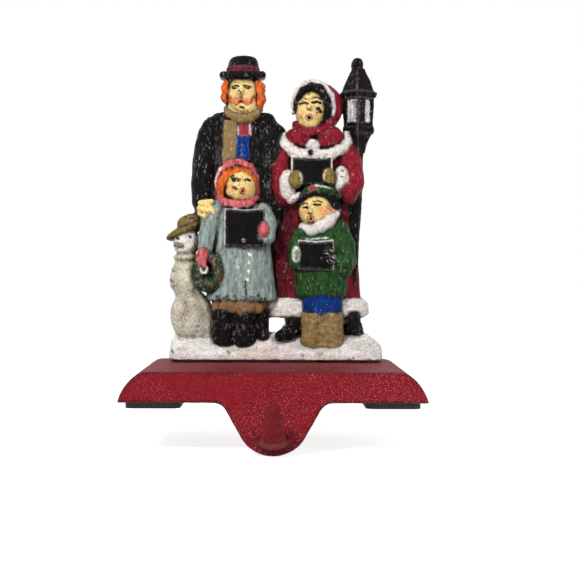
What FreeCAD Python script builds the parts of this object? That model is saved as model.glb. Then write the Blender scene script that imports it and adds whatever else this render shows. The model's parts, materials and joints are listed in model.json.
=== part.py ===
# Mantel stocking holder. A cast iron base stands on a mantelpiece, its tongue hangs over the
# mantel's front edge and ends in an upturned hook for a stocking, and a cast group of carol
# singers stands on the back of the base, held by two screws from below.
#
# Millimetres, +Z up, +X to the viewer's right, -Y towards the room. The origin is the middle of
# the mantel's top front edge: the pads stand on z = 0 and the tongue's back face lies on y = 0.
import FreeCAD
import Part
import Sketcher
import math
import os
from FreeCAD import Placement, Rotation, Vector

# Driving dimensions. In the group, "across" is a place measured to the right of the holder's
# middle, "front" is how far a form reaches forwards from the flat back of the casting, "bulge"
# is how much of that is rounded, and heights are measured from the underside of the snow.
SIZES = {
    # cast base
    "base_length": 140.0,
    "base_top_length": 118.4,
    "base_depth": 90.0,
    "base_height": 14.0,
    "base_end_radius": 21.8,
    "base_edge_round": 1.2,
    "top_wall": 5.0,
    "front_wall": 11.0,
    "back_wall": 5.0,
    "recess_length": 76.0,
    "recess_corner": 5.0,
    # tongue and hook
    "tongue_thick": 6.0,
    "tongue_drop": 24.0,
    "tongue_root_width": 46.4,
    "tongue_tip_radius": 16.6,
    "tongue_root_round": 4.0,
    "hook_bend_radius": 8.5,
    "hook_floor": 3.5,
    "hook_root_width": 16.0,
    "hook_root_thick": 7.4,
    "hook_tip_width": 6.0,
    "hook_tip_thick": 4.2,
    "hook_rise": 13.8,
    # pads under the base
    "pad_length": 25.0,
    "pad_depth": 80.0,
    "pad_thick": 3.0,
    "pad_corner": 4.0,
    "pad_end_margin": 3.0,
    # screws and their seats
    "screw_spacing": 52.0,
    "screw_thread": 4.2,
    "screw_length": 12.0,
    "screw_head": 8.0,
    "screw_head_height": 2.8,
    "screw_chamfer": 0.5,
    "slot_width": 1.1,
    "slot_depth": 1.3,
    "shank_clearance": 0.3,
    "thread_clearance": 0.05,
    "thread_spare": 1.6,
    "boss_width": 9.0,
    "boss_height": 1.2,
    # snow that the group stands on
    "group_back_margin": 7.0,
    "snow_across": 1.3,
    "snow_length": 107.0,
    "snow_front": 24.0,
    "snow_top": 12.6,
    "snow_lip": 3.8,
    "snow_slope": 14.0,
    "snow_right_slope": 10.5,
    "snow_left_slope": 4.5,
    "snow_corner": 7.5,
    # man in a black coat and hat
    "man_across": -16.2,
    "man_front": 12.5,
    "man_bulge": 7.0,
    "man_hem_height": 22.0,
    "man_coat_length": 101.5,
    "man_coat_width": 38.0,
    "man_arm_width": 11.6,
    "man_arm_length": 45.0,
    "man_boot_across": -5.8,
    "man_boot_width": 7.4,
    "man_scarf_width": 19.0,
    "man_scarf_thick": 9.0,
    "man_scarf_tail": 24.0,
    "man_tail_width": 6.6,
    "man_vest_width": 7.4,
    "man_vest_length": 22.0,
    "man_head_width": 13.4,
    "man_head_height": 17.6,
    "man_hair_width": 22.6,
    "man_hair_height": 15.0,
    "man_hat_width": 22.6,
    "man_brim_thick": 3.0,
    "man_crown_width": 16.4,
    "man_crown_height": 11.0,
    # woman in a hooded red cape and dress
    "woman_across": 20.4,
    "woman_front": 12.0,
    "woman_bulge": 8.0,
    "woman_hem_height": 20.2,
    "woman_fur_height": 10.4,
    "woman_fur_width": 56.6,
    "woman_skirt_length": 90.0,
    "woman_skirt_width": 49.0,
    "woman_arm_width": 11.4,
    "woman_arm_length": 36.0,
    "woman_cuff_width": 10.6,
    "woman_cuff_height": 16.4,
    "woman_cape_width": 37.0,
    "woman_cape_height": 12.6,
    "woman_collar_width": 29.0,
    "woman_collar_height": 11.0,
    "woman_head_width": 15.4,
    "woman_head_height": 18.6,
    "woman_hood_width": 24.4,
    "woman_hood_height": 28.4,
    "woman_hood_rise": 16.0,
    "woman_trim_width": 21.8,
    "woman_trim_height": 26.6,
    "woman_book_width": 18.9,
    "woman_book_height": 12.7,
    "woman_shoe_across": 8.6,
    "woman_shoe_width": 14.6,
    "woman_boot_across": 19.0,
    "woman_boot_width": 10.4,
    # girl in a pale coat and bonnet
    "girl_across": -17.0,
    "girl_front": 20.5,
    "girl_bulge": 9.0,
    "girl_hem_height": 28.0,
    "girl_coat_length": 51.0,
    "girl_coat_width": 36.0,
    "girl_petticoat_width": 26.4,
    "girl_petticoat_height": 8.4,
    "girl_boot_width": 11.8,
    "girl_boot_gap": 10.0,
    "girl_arm_width": 9.2,
    "girl_arm_length": 23.0,
    "girl_scarf_width": 20.6,
    "girl_scarf_thick": 8.0,
    "girl_head_width": 15.2,
    "girl_head_height": 15.6,
    "girl_bonnet_width": 22.8,
    "girl_bonnet_height": 23.0,
    "girl_book_width": 18.5,
    "girl_book_height": 18.1,
    "wreath_width": 17.4,
    "wreath_height": 21.4,
    "wreath_thick": 6.2,
    # boy in a green coat and cap
    "boy_across": 24.0,
    "boy_front": 21.0,
    "boy_bulge": 8.5,
    "boy_hem_height": 31.0,
    "boy_coat_length": 36.5,
    "boy_coat_width": 27.6,
    "boy_trousers_width": 19.8,
    "boy_trousers_height": 10.0,
    "boy_gaiter_width": 11.2,
    "boy_gaiter_gap": 9.8,
    "boy_arm_width": 9.2,
    "boy_arm_length": 22.0,
    "boy_collar_width": 19.6,
    "boy_collar_thick": 8.8,
    "boy_head_width": 17.2,
    "boy_head_height": 17.4,
    "boy_cap_width": 21.6,
    "boy_cap_height": 16.4,
    "boy_book_width": 17.1,
    "boy_book_height": 14.7,
    # snowman
    "snowman_across": -42.4,
    "snowman_front": 17.5,
    "snowman_foot": 10.8,
    "snowman_lower_width": 21.2,
    "snowman_lower_height": 23.0,
    "snowman_middle_width": 16.2,
    "snowman_middle_height": 20.4,
    "snowman_head_width": 13.4,
    "snowman_head_height": 15.0,
    "snowman_brim_width": 18.8,
    "snowman_brim_thick": 3.2,
    "snowman_brim_tilt": 19.5,
    "snowman_crown_width": 12.0,
    "snowman_crown_height": 9.4,
    # lamp post
    "lamp_across": 42.6,
    "lamp_middle": 5.5,
    "lamp_post_width": 6.4,
    "lamp_post_length": 94.0,
    "lamp_body_width": 16.6,
    "lamp_body_height": 21.8,
    "lamp_roof_height": 12.3,
    "lamp_roof_width": 18.8,
    "lamp_eave_thick": 2.6,
    "lamp_finial_width": 5.8,
    "lamp_turn": 7.6,
    "lamp_pane_depth": 0.9,
    "lamp_pane_margin": 1.7,
}

# Profiles of standing forms from the bottom up, as shares of the form's height and width.
COAT_PROFILE = ((0.0, 0.78), (0.25, 0.81), (0.48, 0.88), (0.7, 1.04), (0.88, 1.06), (0.96, 0.86),
                (1.0, 0.5))
SKIRT_PROFILE = ((0.0, 1.0), (0.34, 0.89), (0.61, 0.76), (0.8, 0.7), (0.92, 0.57), (1.0, 0.29))
CHILD_COAT_PROFILE = ((0.0, 1.0), (0.1, 0.97), (0.5, 0.83), (0.76, 0.76), (0.92, 0.67), (1.0, 0.42))
JACKET_PROFILE = ((0.0, 0.93), (0.12, 1.0), (0.4, 0.98), (0.8, 0.92), (0.94, 0.8), (1.0, 0.55))
BOOT_PROFILE = ((0.0, 0.9), (0.06, 1.0), (0.35, 0.96), (0.55, 0.8), (1.0, 0.86))
FUR_PROFILE = ((0.0, 0.93), (0.18, 1.0), (0.6, 0.99), (1.0, 0.9))
CROWN_PROFILE = ((0.0, 1.0), (0.45, 0.94), (0.75, 0.84), (0.93, 0.62), (1.0, 0.4))
POST_PROFILE = ((0.0, 1.75), (0.13, 1.45), (0.17, 1.05), (0.6, 1.12), (0.95, 0.8), (1.0, 0.95))

# How finely the carved forms are cut, and how far they run back before the back is cut flat.
FRONT_FACETS = 10
SMALL_FACETS = 8
BALL_STEPS = 6
BALL_END_ANGLE = 76.0
BACK_REACH = 2.4
SEATED = 1.0
BACK_ROOM = 400.0

# The hook's sections along its bend, as (share of the way from root to tip size, degrees round
# from straight down), then along its rise, as (share, share of the rise). The last one is small.
HOOK_TURNS = ((-0.2, -58.0), (0.04, -24.0), (0.28, 12.0), (0.5, 42.0), (0.62, 66.0))
HOOK_RISES = ((0.82, 0.5), (1.0, 0.93), (1.0, 1.0))
HOOK_DOME = 0.45
HOOK_SIDES = 18
HOOK_MIDDLE_SHARE = 0.5

# How many flat facets the wreath has around its ring and across it.
WREATH_FACETS_AROUND = 14
WREATH_FACETS_ACROSS = 8

DOC = FreeCAD.newDocument("StockingHolder")
SHEET = DOC.addObject("Spreadsheet::Sheet", "Sizes")
for row, (alias, number) in enumerate(SIZES.items(), start=1):
    SHEET.set(f"A{row}", alias)
    SHEET.set(f"B{row}", str(number))
    SHEET.setAlias(f"B{row}", alias)
DOC.recompute()

# Where the screws stand: the middle of the snow's depth.
GROUP_MIDDLE = "base_depth - tongue_thick - group_back_margin - snow_front / 2"


def size(alias):
    """The sheet's value of one driving dimension."""
    return float(SHEET.get(alias))


class Sizes:
    """One figure's sizes: Sizes("man").hat_width is the cell man_hat_width."""

    def __init__(self, figure):
        self.figure = figure

    def __getattr__(self, name):
        return size(f"{self.figure}_{name}")


# Helpers for sketched bodies. A corner is a pair of formulas on the sheet's cells.
def cells(formula):
    """The formula with each of the sheet's aliases written as a cell of the sheet."""
    words = formula.split()
    return " ".join(f"Sizes.{word}" if word in SIZES else word for word in words)


def worked_out(formula):
    """The value of a formula, for the first place of a sketch's point."""
    return float(SHEET.evalExpression(cells(formula)))


def new_sketch(body, name, plane, offset=None):
    """A sketch on one of the body's origin planes, moved along the plane's normal by a formula."""
    sketch = body.newObject("Sketcher::SketchObject", name)
    base = next(feature for feature in body.Origin.OriginFeatures if feature.Role == plane)
    sketch.AttachmentSupport = [(base, "")]
    sketch.MapMode = "FlatFace"
    if offset:
        sketch.setExpression("AttachmentOffset.Base.z", cells(offset))
    return sketch


def pin(sketch, item, point, corner):
    """Fixes a point of the sketch at a corner, given by two formulas."""
    for kind, formula in zip(("DistanceX", "DistanceY"), corner):
        index = sketch.addConstraint(
            Sketcher.Constraint(kind, -1, 1, item, point, worked_out(formula)))
        sketch.setExpression(f"Constraints[{index}]", cells(formula))


def polygon(sketch, corners):
    """A closed outline of straight lines through the corners."""
    places = [Vector(worked_out(x), worked_out(y), 0) for x, y in corners]
    count, first = len(places), sketch.GeometryCount
    for item in range(count):
        sketch.addGeometry(Part.LineSegment(places[item], places[(item + 1) % count]), False)
    for item in range(count):
        following = first + (item + 1) % count
        sketch.addConstraint(Sketcher.Constraint("Coincident", first + item, 2, following, 1))
        pin(sketch, first + item, 1, corners[item])


def rectangle(sketch, middle_x, middle_y, width, height):
    """A closed rectangle about a middle."""
    left, right = (f"( {middle_x} ) - ( {width} ) / 2", f"( {middle_x} ) + ( {width} ) / 2")
    low, high = (f"( {middle_y} ) - ( {height} ) / 2", f"( {middle_y} ) + ( {height} ) / 2")
    polygon(sketch, [(left, low), (right, low), (right, high), (left, high)])


def circle(sketch, x, y, radius):
    """A circle about a place."""
    item = sketch.addGeometry(
        Part.Circle(Vector(worked_out(x), worked_out(y), 0), Vector(0, 0, 1), worked_out(radius)),
        False)
    pin(sketch, item, 3, (x, y))
    index = sketch.addConstraint(Sketcher.Constraint("Radius", item, worked_out(radius)))
    sketch.setExpression(f"Constraints[{index}]", cells(radius))


def extrude(body, kind, name, sketch, length, reverse=False):
    """A pad or a pocket of the sketch."""
    feature = body.newObject(f"PartDesign::{kind}", name)
    feature.Profile = sketch
    feature.setExpression("Length", cells(length))
    feature.Reversed = reverse
    DOC.recompute()
    return feature


def dress(body, kind, name, base, edges, amount):
    """A fillet or a chamfer on the base feature's named edges."""
    feature = body.newObject(f"PartDesign::{kind}", name)
    feature.Base = (base, edges)
    feature.setExpression("Radius" if kind == "Fillet" else "Size", cells(amount))
    DOC.recompute()
    return feature


def edges_where(feature, wanted):
    """The names of a feature's edges whose bounding box passes the test."""
    return [f"Edge{number}" for number, edge in enumerate(feature.Shape.Edges, start=1)
            if wanted(edge.BoundBox)]


def upright(box):
    """Whether an edge stands straight up."""
    return box.XLength < 0.01 and box.YLength < 0.01


# Carved forms of the group. Each is a stack of level rings. A ring is an arch in plan: a half
# round front of flat facets and a straight back that runs past the back of the casting.
def arch(facets, roundness):
    """The plan of a ring of half width one, as (across, out) pairs."""
    front = [(math.cos(math.pi * step / facets), roundness * math.sin(math.pi * step / facets))
             for step in range(facets + 1)]
    return front + [(-1.0, -BACK_REACH), (1.0, -BACK_REACH)]


def stacked(rings, plan):
    """A solid with flat faces through rings of one plan, each (height, across, out, half width)."""
    loops = [[Vector(across + half * x, -(out + half * y), height) for x, y in plan]
             for height, across, out, half in rings]
    outlines = [loops[0], loops[-1]]
    for low, high in zip(loops, loops[1:]):
        for step in range(len(plan)):
            after = (step + 1) % len(plan)
            outlines.append([low[step], low[after], high[after], high[step]])
    faces = [Part.Face(Part.makePolygon(outline + outline[:1])) for outline in outlines]
    solid = Part.makeSolid(Part.makeShell(faces))
    if solid.Volume < 0:
        solid.reverse()
    return solid


def standing(profile, across, foot, height, width, front, bulge, facets=FRONT_FACETS):
    """A coat, skirt or boot: a profile stretched to its height and width."""
    widest = width / 2 * max(share for _, share in profile)
    rings = [(foot + height * level, across, front - bulge, width / 2 * share)
             for level, share in profile]
    return stacked(rings, arch(facets, bulge / widest))


def ball(across, middle, width, height, front, bulge, facets=SMALL_FACETS, tilt=0.0):
    """A rounded form about its middle height."""
    top = math.sin(math.radians(BALL_END_ANGLE))
    rings = []
    for step in range(BALL_STEPS + 1):
        angle = math.radians(BALL_END_ANGLE * (2 * step / BALL_STEPS - 1))
        rings.append((middle + height / 2 * math.sin(angle) / top, across, front - bulge,
                      width / 2 * math.cos(angle)))
    form = stacked(rings, arch(facets, 2 * bulge / width))
    if tilt:
        form.rotate(Vector(across, 0, middle), Vector(0, 1, 0), -tilt)
    return form


def sleeve(shoulder, elbow, wrist, width, front, bulge):
    """An arm through three (across, height) places, forward at the wrist by its own bulge."""
    fall = shoulder[1] - elbow[1]
    rings = [
        (wrist[1], wrist[0], front - bulge, width * 0.36),
        (elbow[1], elbow[0], front - bulge, width * 0.48),
        (elbow[1] + fall * 0.5, (elbow[0] * 0.6 + shoulder[0] * 0.4), front - bulge, width * 0.5),
        (shoulder[1] - width * 0.25, shoulder[0], front - bulge, width * 0.44),
        (shoulder[1], shoulder[0], front - bulge, width * 0.26),
    ]
    return stacked(rings, arch(SMALL_FACETS, 2 * bulge / width))


def slab(across, middle, width, height, front, thick, tilt=0.0):
    """A flat block such as a book, with its front face at front."""
    block = Part.makeBox(width, thick, height,
                         Vector(across - width / 2, -front, middle - height / 2))
    if tilt:
        block.rotate(Vector(across, 0, middle), Vector(0, 1, 0), -tilt)
    return block


def open_book(across, middle, width, height, front, thick, fall):
    """A book held open, seen from its cover: the spine stands out and the edges fall back."""
    half = width / 2
    plan = [(-half, fall), (0.0, 0.0), (half, fall), (half, fall + thick), (0.0, thick),
            (-half, fall + thick)]
    corners = [Vector(across + x, y - front, middle - height / 2) for x, y in plan]
    return Part.Face(Part.makePolygon(corners + corners[:1])).extrude(Vector(0, 0, height))


def man():
    """The man at the back left: long coat, scarf, beard and brimmed hat."""
    his = Sizes("man")
    shoulder = his.hem_height + his.coat_length * 0.95
    reach = his.coat_width / 2 - his.arm_width * 0.2
    hand = shoulder - his.arm_length
    neck = his.hem_height + his.coat_length
    head = neck + his.head_height * 0.45
    brow = head + his.head_height * 0.5
    brim = brow + his.brim_thick * 0.5
    face_front = his.front + 4.0
    return [
        standing(COAT_PROFILE, his.across, his.hem_height, his.coat_length, his.coat_width,
                 his.front, his.bulge),
        sleeve((his.across - reach, shoulder), (his.across - reach - 2.4, shoulder - his.arm_length / 2),
               (his.across - reach - 1.0, hand), his.arm_width, his.front + 1.4, his.arm_width / 2),
        sleeve((his.across + reach, shoulder), (his.across + reach + 2.0, shoulder - his.arm_length / 2),
               (his.across + reach + 0.5, hand), his.arm_width, his.front - 0.7, his.arm_width / 2),
        ball(his.across - reach - 0.8, hand + his.arm_width * 0.1, his.arm_width * 0.86, his.arm_width,
             his.front + 4.8, his.arm_width * 0.4),
        standing(BOOT_PROFILE, his.boot_across, size("snow_top") * 0.6,
                 his.hem_height - size("snow_top") * 0.6 + SEATED, his.boot_width,
                 his.front + 1.5, his.boot_width / 2, SMALL_FACETS),
        slab(his.across + 0.5, neck - his.scarf_thick * 0.6 - his.vest_length / 2, his.vest_width,
             his.vest_length, his.front + 0.6, his.bulge),
        ball(his.across + 0.7, neck - his.scarf_thick * 0.2, his.scarf_width, his.scarf_thick,
             his.front + 2.3, his.bulge),
        slab(his.across - his.scarf_width * 0.33, neck - his.scarf_thick * 0.3 - his.scarf_tail / 2,
             his.tail_width, his.scarf_tail, his.front + 1.7, his.bulge, 4.0),
        ball(his.across + 0.3, head + his.head_height * 0.05, his.hair_width, his.hair_height,
             face_front - 3.0, 5.0),
        ball(his.across, head, his.head_width, his.head_height, face_front, his.head_width / 2,
             FRONT_FACETS),
        ball(his.across + 0.1, head + his.head_height * 0.04, his.head_width * 0.2,
             his.head_height * 0.3, face_front + 1.3, 1.4),
        ball(his.across, head - his.head_height * 0.12, his.head_width * 0.72,
             his.head_height * 0.2, face_front + 0.7, 2.2),
        ball(his.across + 0.6, brim, his.hat_width, his.brim_thick, face_front + 1.2,
             his.hat_width * 0.42, FRONT_FACETS),
        standing(CROWN_PROFILE, his.across + 0.6, brim, his.crown_height, his.crown_width,
                 face_front - 0.5, his.crown_width * 0.45),
    ]


def woman():
    """The woman at the back right: hooded cape, wide skirt with a fur hem, open book."""
    her = Sizes("woman")
    hem = her.hem_height + her.fur_height
    neck = hem + her.skirt_length
    shoulder = neck - her.cape_height * 0.7
    elbow = shoulder - her.arm_length * 0.8
    reach = her.cape_width / 2 - her.arm_width * 0.45
    head = neck + her.head_height * 0.27
    hood = neck + her.hood_rise * 0.38
    book = elbow + her.book_height * 0.88
    face_front = her.front + 4.2
    book_across = her.across - 1.5
    foot = size("snow_top") * 0.7
    forms = [
        standing(SKIRT_PROFILE, her.across, hem - SEATED, her.skirt_length + SEATED,
                 her.skirt_width, her.front, her.bulge),
        standing(FUR_PROFILE, her.across - 0.4, her.hem_height, her.fur_height, her.fur_width,
                 her.front + 1.6, her.bulge + 0.6),
        ball(her.across + 0.9, shoulder - her.cape_height * 0.33, her.cape_width,
             her.cape_height * 1.14, her.front + 5.2, her.bulge - 2.5, FRONT_FACETS),
        ball(her.across + 0.4, shoulder + her.collar_height * 0.36, her.collar_width,
             her.collar_height, her.front + 4.6, her.bulge - 1.0, FRONT_FACETS),
        ball(her.across + 2.6, hood, her.hood_width, her.hood_height, her.front, her.hood_width * 0.3,
             FRONT_FACETS),
        ball(her.across - 0.8, head + her.head_height * 0.12, her.trim_width, her.trim_height,
             face_front - 2.0, her.head_width * 0.26, FRONT_FACETS),
        ball(her.across - 0.8, head + her.head_height * 0.1, her.head_width * 1.24,
             her.head_height * 1.1, face_front - 0.4, her.head_width * 0.34),
        ball(her.across - 2.1, head, her.head_width, her.head_height, face_front,
             her.head_width / 2, FRONT_FACETS),
        ball(her.across - 2.8, head + her.head_height * 0.12, her.head_width * 0.18,
             her.head_height * 0.28, face_front + 1.2, 1.3),
        open_book(book_across, book, her.book_width, her.book_height, her.front + 5.8, 3.4, 1.6),
        ball(her.across - her.shoe_across - 3.2, size("snow_top") + 0.6, her.shoe_width, 8.4,
             her.front + 5.6, 5.0),
        standing(BOOT_PROFILE, her.across - her.shoe_across, foot, her.hem_height - foot + SEATED,
                 her.shoe_width * 0.5, her.front + 1.4, 4.0, SMALL_FACETS),
        standing(BOOT_PROFILE, her.across + her.boot_across, foot, her.hem_height - foot + SEATED,
                 her.boot_width, her.front + 0.5, her.boot_width / 2, SMALL_FACETS),
    ]
    for side in (-1, 1):
        near = her.across + 0.9 + side * reach
        forms.append(sleeve((near, shoulder), (near + side * 4.2, elbow + her.arm_length * 0.2),
                            (near + side * 2.6, elbow - her.arm_length * 0.12), her.arm_width,
                            her.front + 4.0, her.arm_width * 0.6))
        cuff = book_across + side * (her.book_width / 2 + her.cuff_width * 0.34)
        forms.append(ball(cuff, book - 6.0, her.cuff_width, her.cuff_height, her.front + 5.8, 6.4))
        forms.append(ball(book_across + side * her.book_width * 0.44, book - 3.6,
                          her.cuff_width * 0.66, her.cuff_height * 0.56, her.front + 8.0, 3.6))
    return forms


def wreath():
    """The wreath that hangs from the girl's hand: a ring of flat-sided segments."""
    girl = Sizes("girl")
    across = girl.across - 15.6
    middle = girl.hem_height + size("wreath_height") * 0.5 + 4.6
    out = girl.front - 3.2
    half_width = (size("wreath_width") - size("wreath_thick")) / 2
    half_height = (size("wreath_height") - size("wreath_thick")) / 2
    loops = []
    for step in range(WREATH_FACETS_AROUND):
        turn = 2 * math.pi * step / WREATH_FACETS_AROUND
        loop = []
        for corner in range(WREATH_FACETS_ACROSS):
            angle = 2 * math.pi * corner / WREATH_FACETS_ACROSS
            reach = size("wreath_thick") / 2 * math.cos(angle)
            loop.append(Vector(across + (half_width + reach) * math.cos(turn),
                               -(out + size("wreath_thick") / 2 * math.sin(angle)),
                               middle + (half_height + reach) * math.sin(turn)))
        loops.append(loop)
    faces = []
    for low, high in zip(loops, loops[1:] + loops[:1]):
        for step in range(WREATH_FACETS_ACROSS):
            after = (step + 1) % WREATH_FACETS_ACROSS
            faces.append(Part.Face(Part.makePolygon([low[step], low[after], high[after], low[step]])))
            faces.append(Part.Face(Part.makePolygon([low[step], high[after], high[step], low[step]])))
    ring = Part.makeSolid(Part.makeShell(faces))
    if ring.Volume < 0:
        ring.reverse()
    return ring


def girl():
    """The girl in front: coat over a petticoat and boots, bonnet, book, wreath in her hand."""
    her = Sizes("girl")
    neck = her.hem_height + her.coat_length
    shoulder = neck - 3.0
    reach = her.coat_width * 0.36
    head = neck + her.head_height * 0.48
    face_front = her.front + 0.4
    book = neck - her.book_height * 0.75
    book_across = her.across + 2.6
    petticoat = her.hem_height - her.petticoat_height + 2.0
    elbow = shoulder - her.arm_length * 0.6
    forms = [
        standing(CHILD_COAT_PROFILE, her.across, her.hem_height, her.coat_length, her.coat_width,
                 her.front, her.bulge),
        standing(FUR_PROFILE, her.across - 0.8, petticoat, her.petticoat_height,
                 her.petticoat_width, her.front - 1.5, her.bulge),
        sleeve((her.across - reach, shoulder), (her.across - reach - 3.4, elbow + 3.0),
               (her.across - reach - 4.6, shoulder - her.arm_length), her.arm_width,
               her.front - 1.4, her.arm_width * 0.55),
        sleeve((her.across + reach, shoulder), (her.across + reach + 1.6, elbow + 4.0),
               (her.across + reach - 0.6, elbow - 5.0), her.arm_width, her.front + 0.6,
               her.arm_width * 0.55),
        ball(her.across - reach - 5.4, shoulder - her.arm_length - 2.2, her.arm_width * 0.7,
             her.arm_width * 0.9, her.front - 0.8, her.arm_width * 0.36),
        ball(her.across + reach - 1.4, elbow + 2.2, her.arm_width * 0.66, her.arm_width * 0.94,
             her.front + 2.6, her.arm_width * 0.36),
        open_book(book_across, book, her.book_width, her.book_height, her.front + 2.4, 3.4, 1.1),
        ball(her.across - 0.8, neck - 0.8, her.scarf_width, her.scarf_thick * 0.9, her.front + 0.6,
             her.bulge, FRONT_FACETS),
        ball(her.across - 1.6, head + 1.8, her.bonnet_width, her.bonnet_height, face_front - 4.2,
             her.head_width * 0.36, FRONT_FACETS),
        ball(her.across - 1.4, head + 0.9, her.head_width * 1.26, her.head_height * 1.2,
             face_front - 2.2, her.head_width * 0.36),
        ball(her.across - 0.6, head - 1.0, her.head_width, her.head_height, face_front,
             her.head_width / 2, FRONT_FACETS),
        ball(her.across - 1.2, head - 0.6, her.head_width * 0.17, her.head_height * 0.24,
             face_front + 0.6, 1.2),
        wreath(),
    ]
    for side in (-1, 1):
        forms.append(standing(BOOT_PROFILE, her.across - 2.5 + side * her.boot_gap / 2,
                              size("snow_top") * 0.4, petticoat - size("snow_top") * 0.4 + SEATED,
                              her.boot_width, her.front, her.boot_width / 2, SMALL_FACETS))
    return forms


def boy():
    """The boy in front: jacket, trousers, gaiters, cap and book."""
    his = Sizes("boy")
    neck = his.hem_height + his.coat_length
    shoulder = neck - 2.4
    reach = his.coat_width * 0.38
    head = neck + his.head_height * 0.42
    face_front = his.front + 0.4
    book = neck - his.book_height * 1.05
    book_across = his.across - 3.0
    trousers = his.hem_height - his.trousers_height + 2.0
    forms = [
        standing(JACKET_PROFILE, his.across, his.hem_height, his.coat_length, his.coat_width,
                 his.front, his.bulge),
        standing(FUR_PROFILE, his.across + 0.6, trousers, his.trousers_height, his.trousers_width,
                 his.front - 1.0, his.bulge),
        sleeve((his.across - reach, shoulder - 1.4), (his.across - reach - 2.2, shoulder - 11.0),
               (his.across - reach - 1.2, shoulder - his.arm_length * 0.86), his.arm_width,
               his.front + 0.2, his.arm_width * 0.54),
        sleeve((his.across + reach, shoulder + 2.6), (his.across + reach + 2.0, shoulder - 8.5),
               (his.across + reach + 2.0, shoulder - his.arm_length), his.arm_width,
               his.front + 0.2, his.arm_width * 0.54),
        ball(book_across - his.book_width * 0.56, book, his.arm_width * 0.5, his.arm_width * 0.94,
             his.front + 1.8, his.arm_width * 0.36),
        ball(book_across + his.book_width * 0.42, book, his.arm_width * 0.8, his.arm_width * 0.78,
             his.front + 3.2, his.arm_width * 0.36),
        open_book(book_across, book, his.book_width, his.book_height, his.front + 2.4, 3.4, 1.1),
        ball(his.across - 0.4, neck - 0.6, his.collar_width, his.collar_thick, his.front + 1.2,
             his.bulge, FRONT_FACETS),
        ball(his.across - 0.8, head + 5.0, his.cap_width, his.cap_height, face_front - 1.0,
             his.head_width * 0.36, FRONT_FACETS),
        ball(his.across, head + 2.0, his.head_width * 1.1, his.head_height, face_front - 1.2,
             his.head_width * 0.4),
        ball(his.across - 3.0, head - 0.4, his.head_width * 0.94, his.head_height, face_front,
             his.head_width / 2, FRONT_FACETS),
        ball(his.across - 5.6, head, his.head_width * 0.16, his.head_height * 0.24,
             face_front + 0.8, 1.2),
    ]
    for side in (-1, 1):
        forms.append(standing(BOOT_PROFILE, his.across + 0.6 + side * his.gaiter_gap / 2,
                              size("snow_top") * 0.3, trousers - size("snow_top") * 0.3 + SEATED,
                              his.gaiter_width, his.front + 0.2, his.gaiter_width / 2,
                              SMALL_FACETS))
    return forms


def snowman():
    """The snowman at the left end: three balls, a scarf and a tilted hat."""
    its = Sizes("snowman")
    lower = its.foot + its.lower_height / 2
    middle = lower + its.lower_height / 2 + its.middle_height * 0.3
    head = middle + its.middle_height / 2 + its.head_height * 0.54
    brim = head + its.head_height * 0.38
    lean = its.across - 1.4
    return [
        ball(its.across + 0.8, lower, its.lower_width, its.lower_height, its.front + 1.0, 8.5,
             FRONT_FACETS),
        ball(lean, middle, its.middle_width, its.middle_height, its.front, 7.6, FRONT_FACETS),
        ball(lean, (middle + its.middle_height * 0.47), its.middle_width * 0.72, 4.2,
             its.front - 1.4, 5.8),
        ball(lean - 0.2, head, its.head_width, its.head_height, its.front, its.head_width / 2,
             FRONT_FACETS),
        ball(lean - 2.8, head - its.head_height * 0.14, 2.6, 2.6, its.front + 1.6, 2.2),
        ball(lean - 1.4, brim, its.brim_width, its.brim_thick, its.front + 1.4, 8.0,
             FRONT_FACETS, its.brim_tilt),
        ball(lean + 0.8, brim + its.crown_height * 0.38, its.crown_width, its.crown_height,
             its.front - 0.8, 5.4, SMALL_FACETS, its.brim_tilt),
    ]


def lantern(profile, across, out, turn):
    """A four sided form about an upright axis, each level (height, half diagonal)."""
    corners = [(math.cos(math.radians(turn + 90 * step)), math.sin(math.radians(turn + 90 * step)))
               for step in range(4)]
    return stacked([(height, across, out, half) for height, half in profile], corners)


def lamp():
    """The street lamp at the right end: foot, post, glazed lantern, roof and finial."""
    its = Sizes("lamp")
    foot = size("snow_top") * 0.8
    throat = foot + its.post_length
    sill = throat + its.body_height * 0.42
    eave = sill + its.body_height
    tip = eave + its.roof_height
    body, roof, post = its.body_width / 2, its.roof_width / 2, its.post_width / 2
    under_eave = eave - its.eave_thick
    shell = lantern([(throat - SEATED, post), (sill, body * 0.86), (under_eave, body),
                     (under_eave + SEATED, body)], its.across, its.middle, -its.turn)
    top = lantern([(under_eave, roof * 0.98), (eave, roof), (eave + its.roof_height * 0.5, roof * 0.62),
                   (tip, roof * 0.28)], its.across, its.middle, -its.turn)
    flat = body * math.sqrt(0.5)
    pane_height = its.body_height - its.eave_thick - 2 * its.pane_margin
    pane_width = 2 * (flat * 0.9 - its.pane_margin)
    for facing in (45.0 - its.turn, 135.0 - its.turn):
        normal = math.radians(facing)
        pane = Part.makeBox(its.pane_depth * 2, pane_width, pane_height,
                            Vector(-its.pane_depth, -pane_width / 2, -pane_height / 2))
        pane.rotate(Vector(0, 0, 0), Vector(0, 0, 1), -facing)
        pane.translate(Vector(its.across + flat * 0.95 * math.cos(normal),
                              -(its.middle + flat * 0.95 * math.sin(normal)), (sill + under_eave) / 2))
        shell = shell.cut(pane)
    return [
        standing(POST_PROFILE, its.across - 1.8, foot, its.post_length, its.post_width,
                 its.middle + post, post, SMALL_FACETS),
        shell,
        top,
        ball(its.across, tip + its.finial_width * 0.3, its.finial_width, its.finial_width,
             its.middle + its.finial_width / 2, its.finial_width / 2),
    ]


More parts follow.
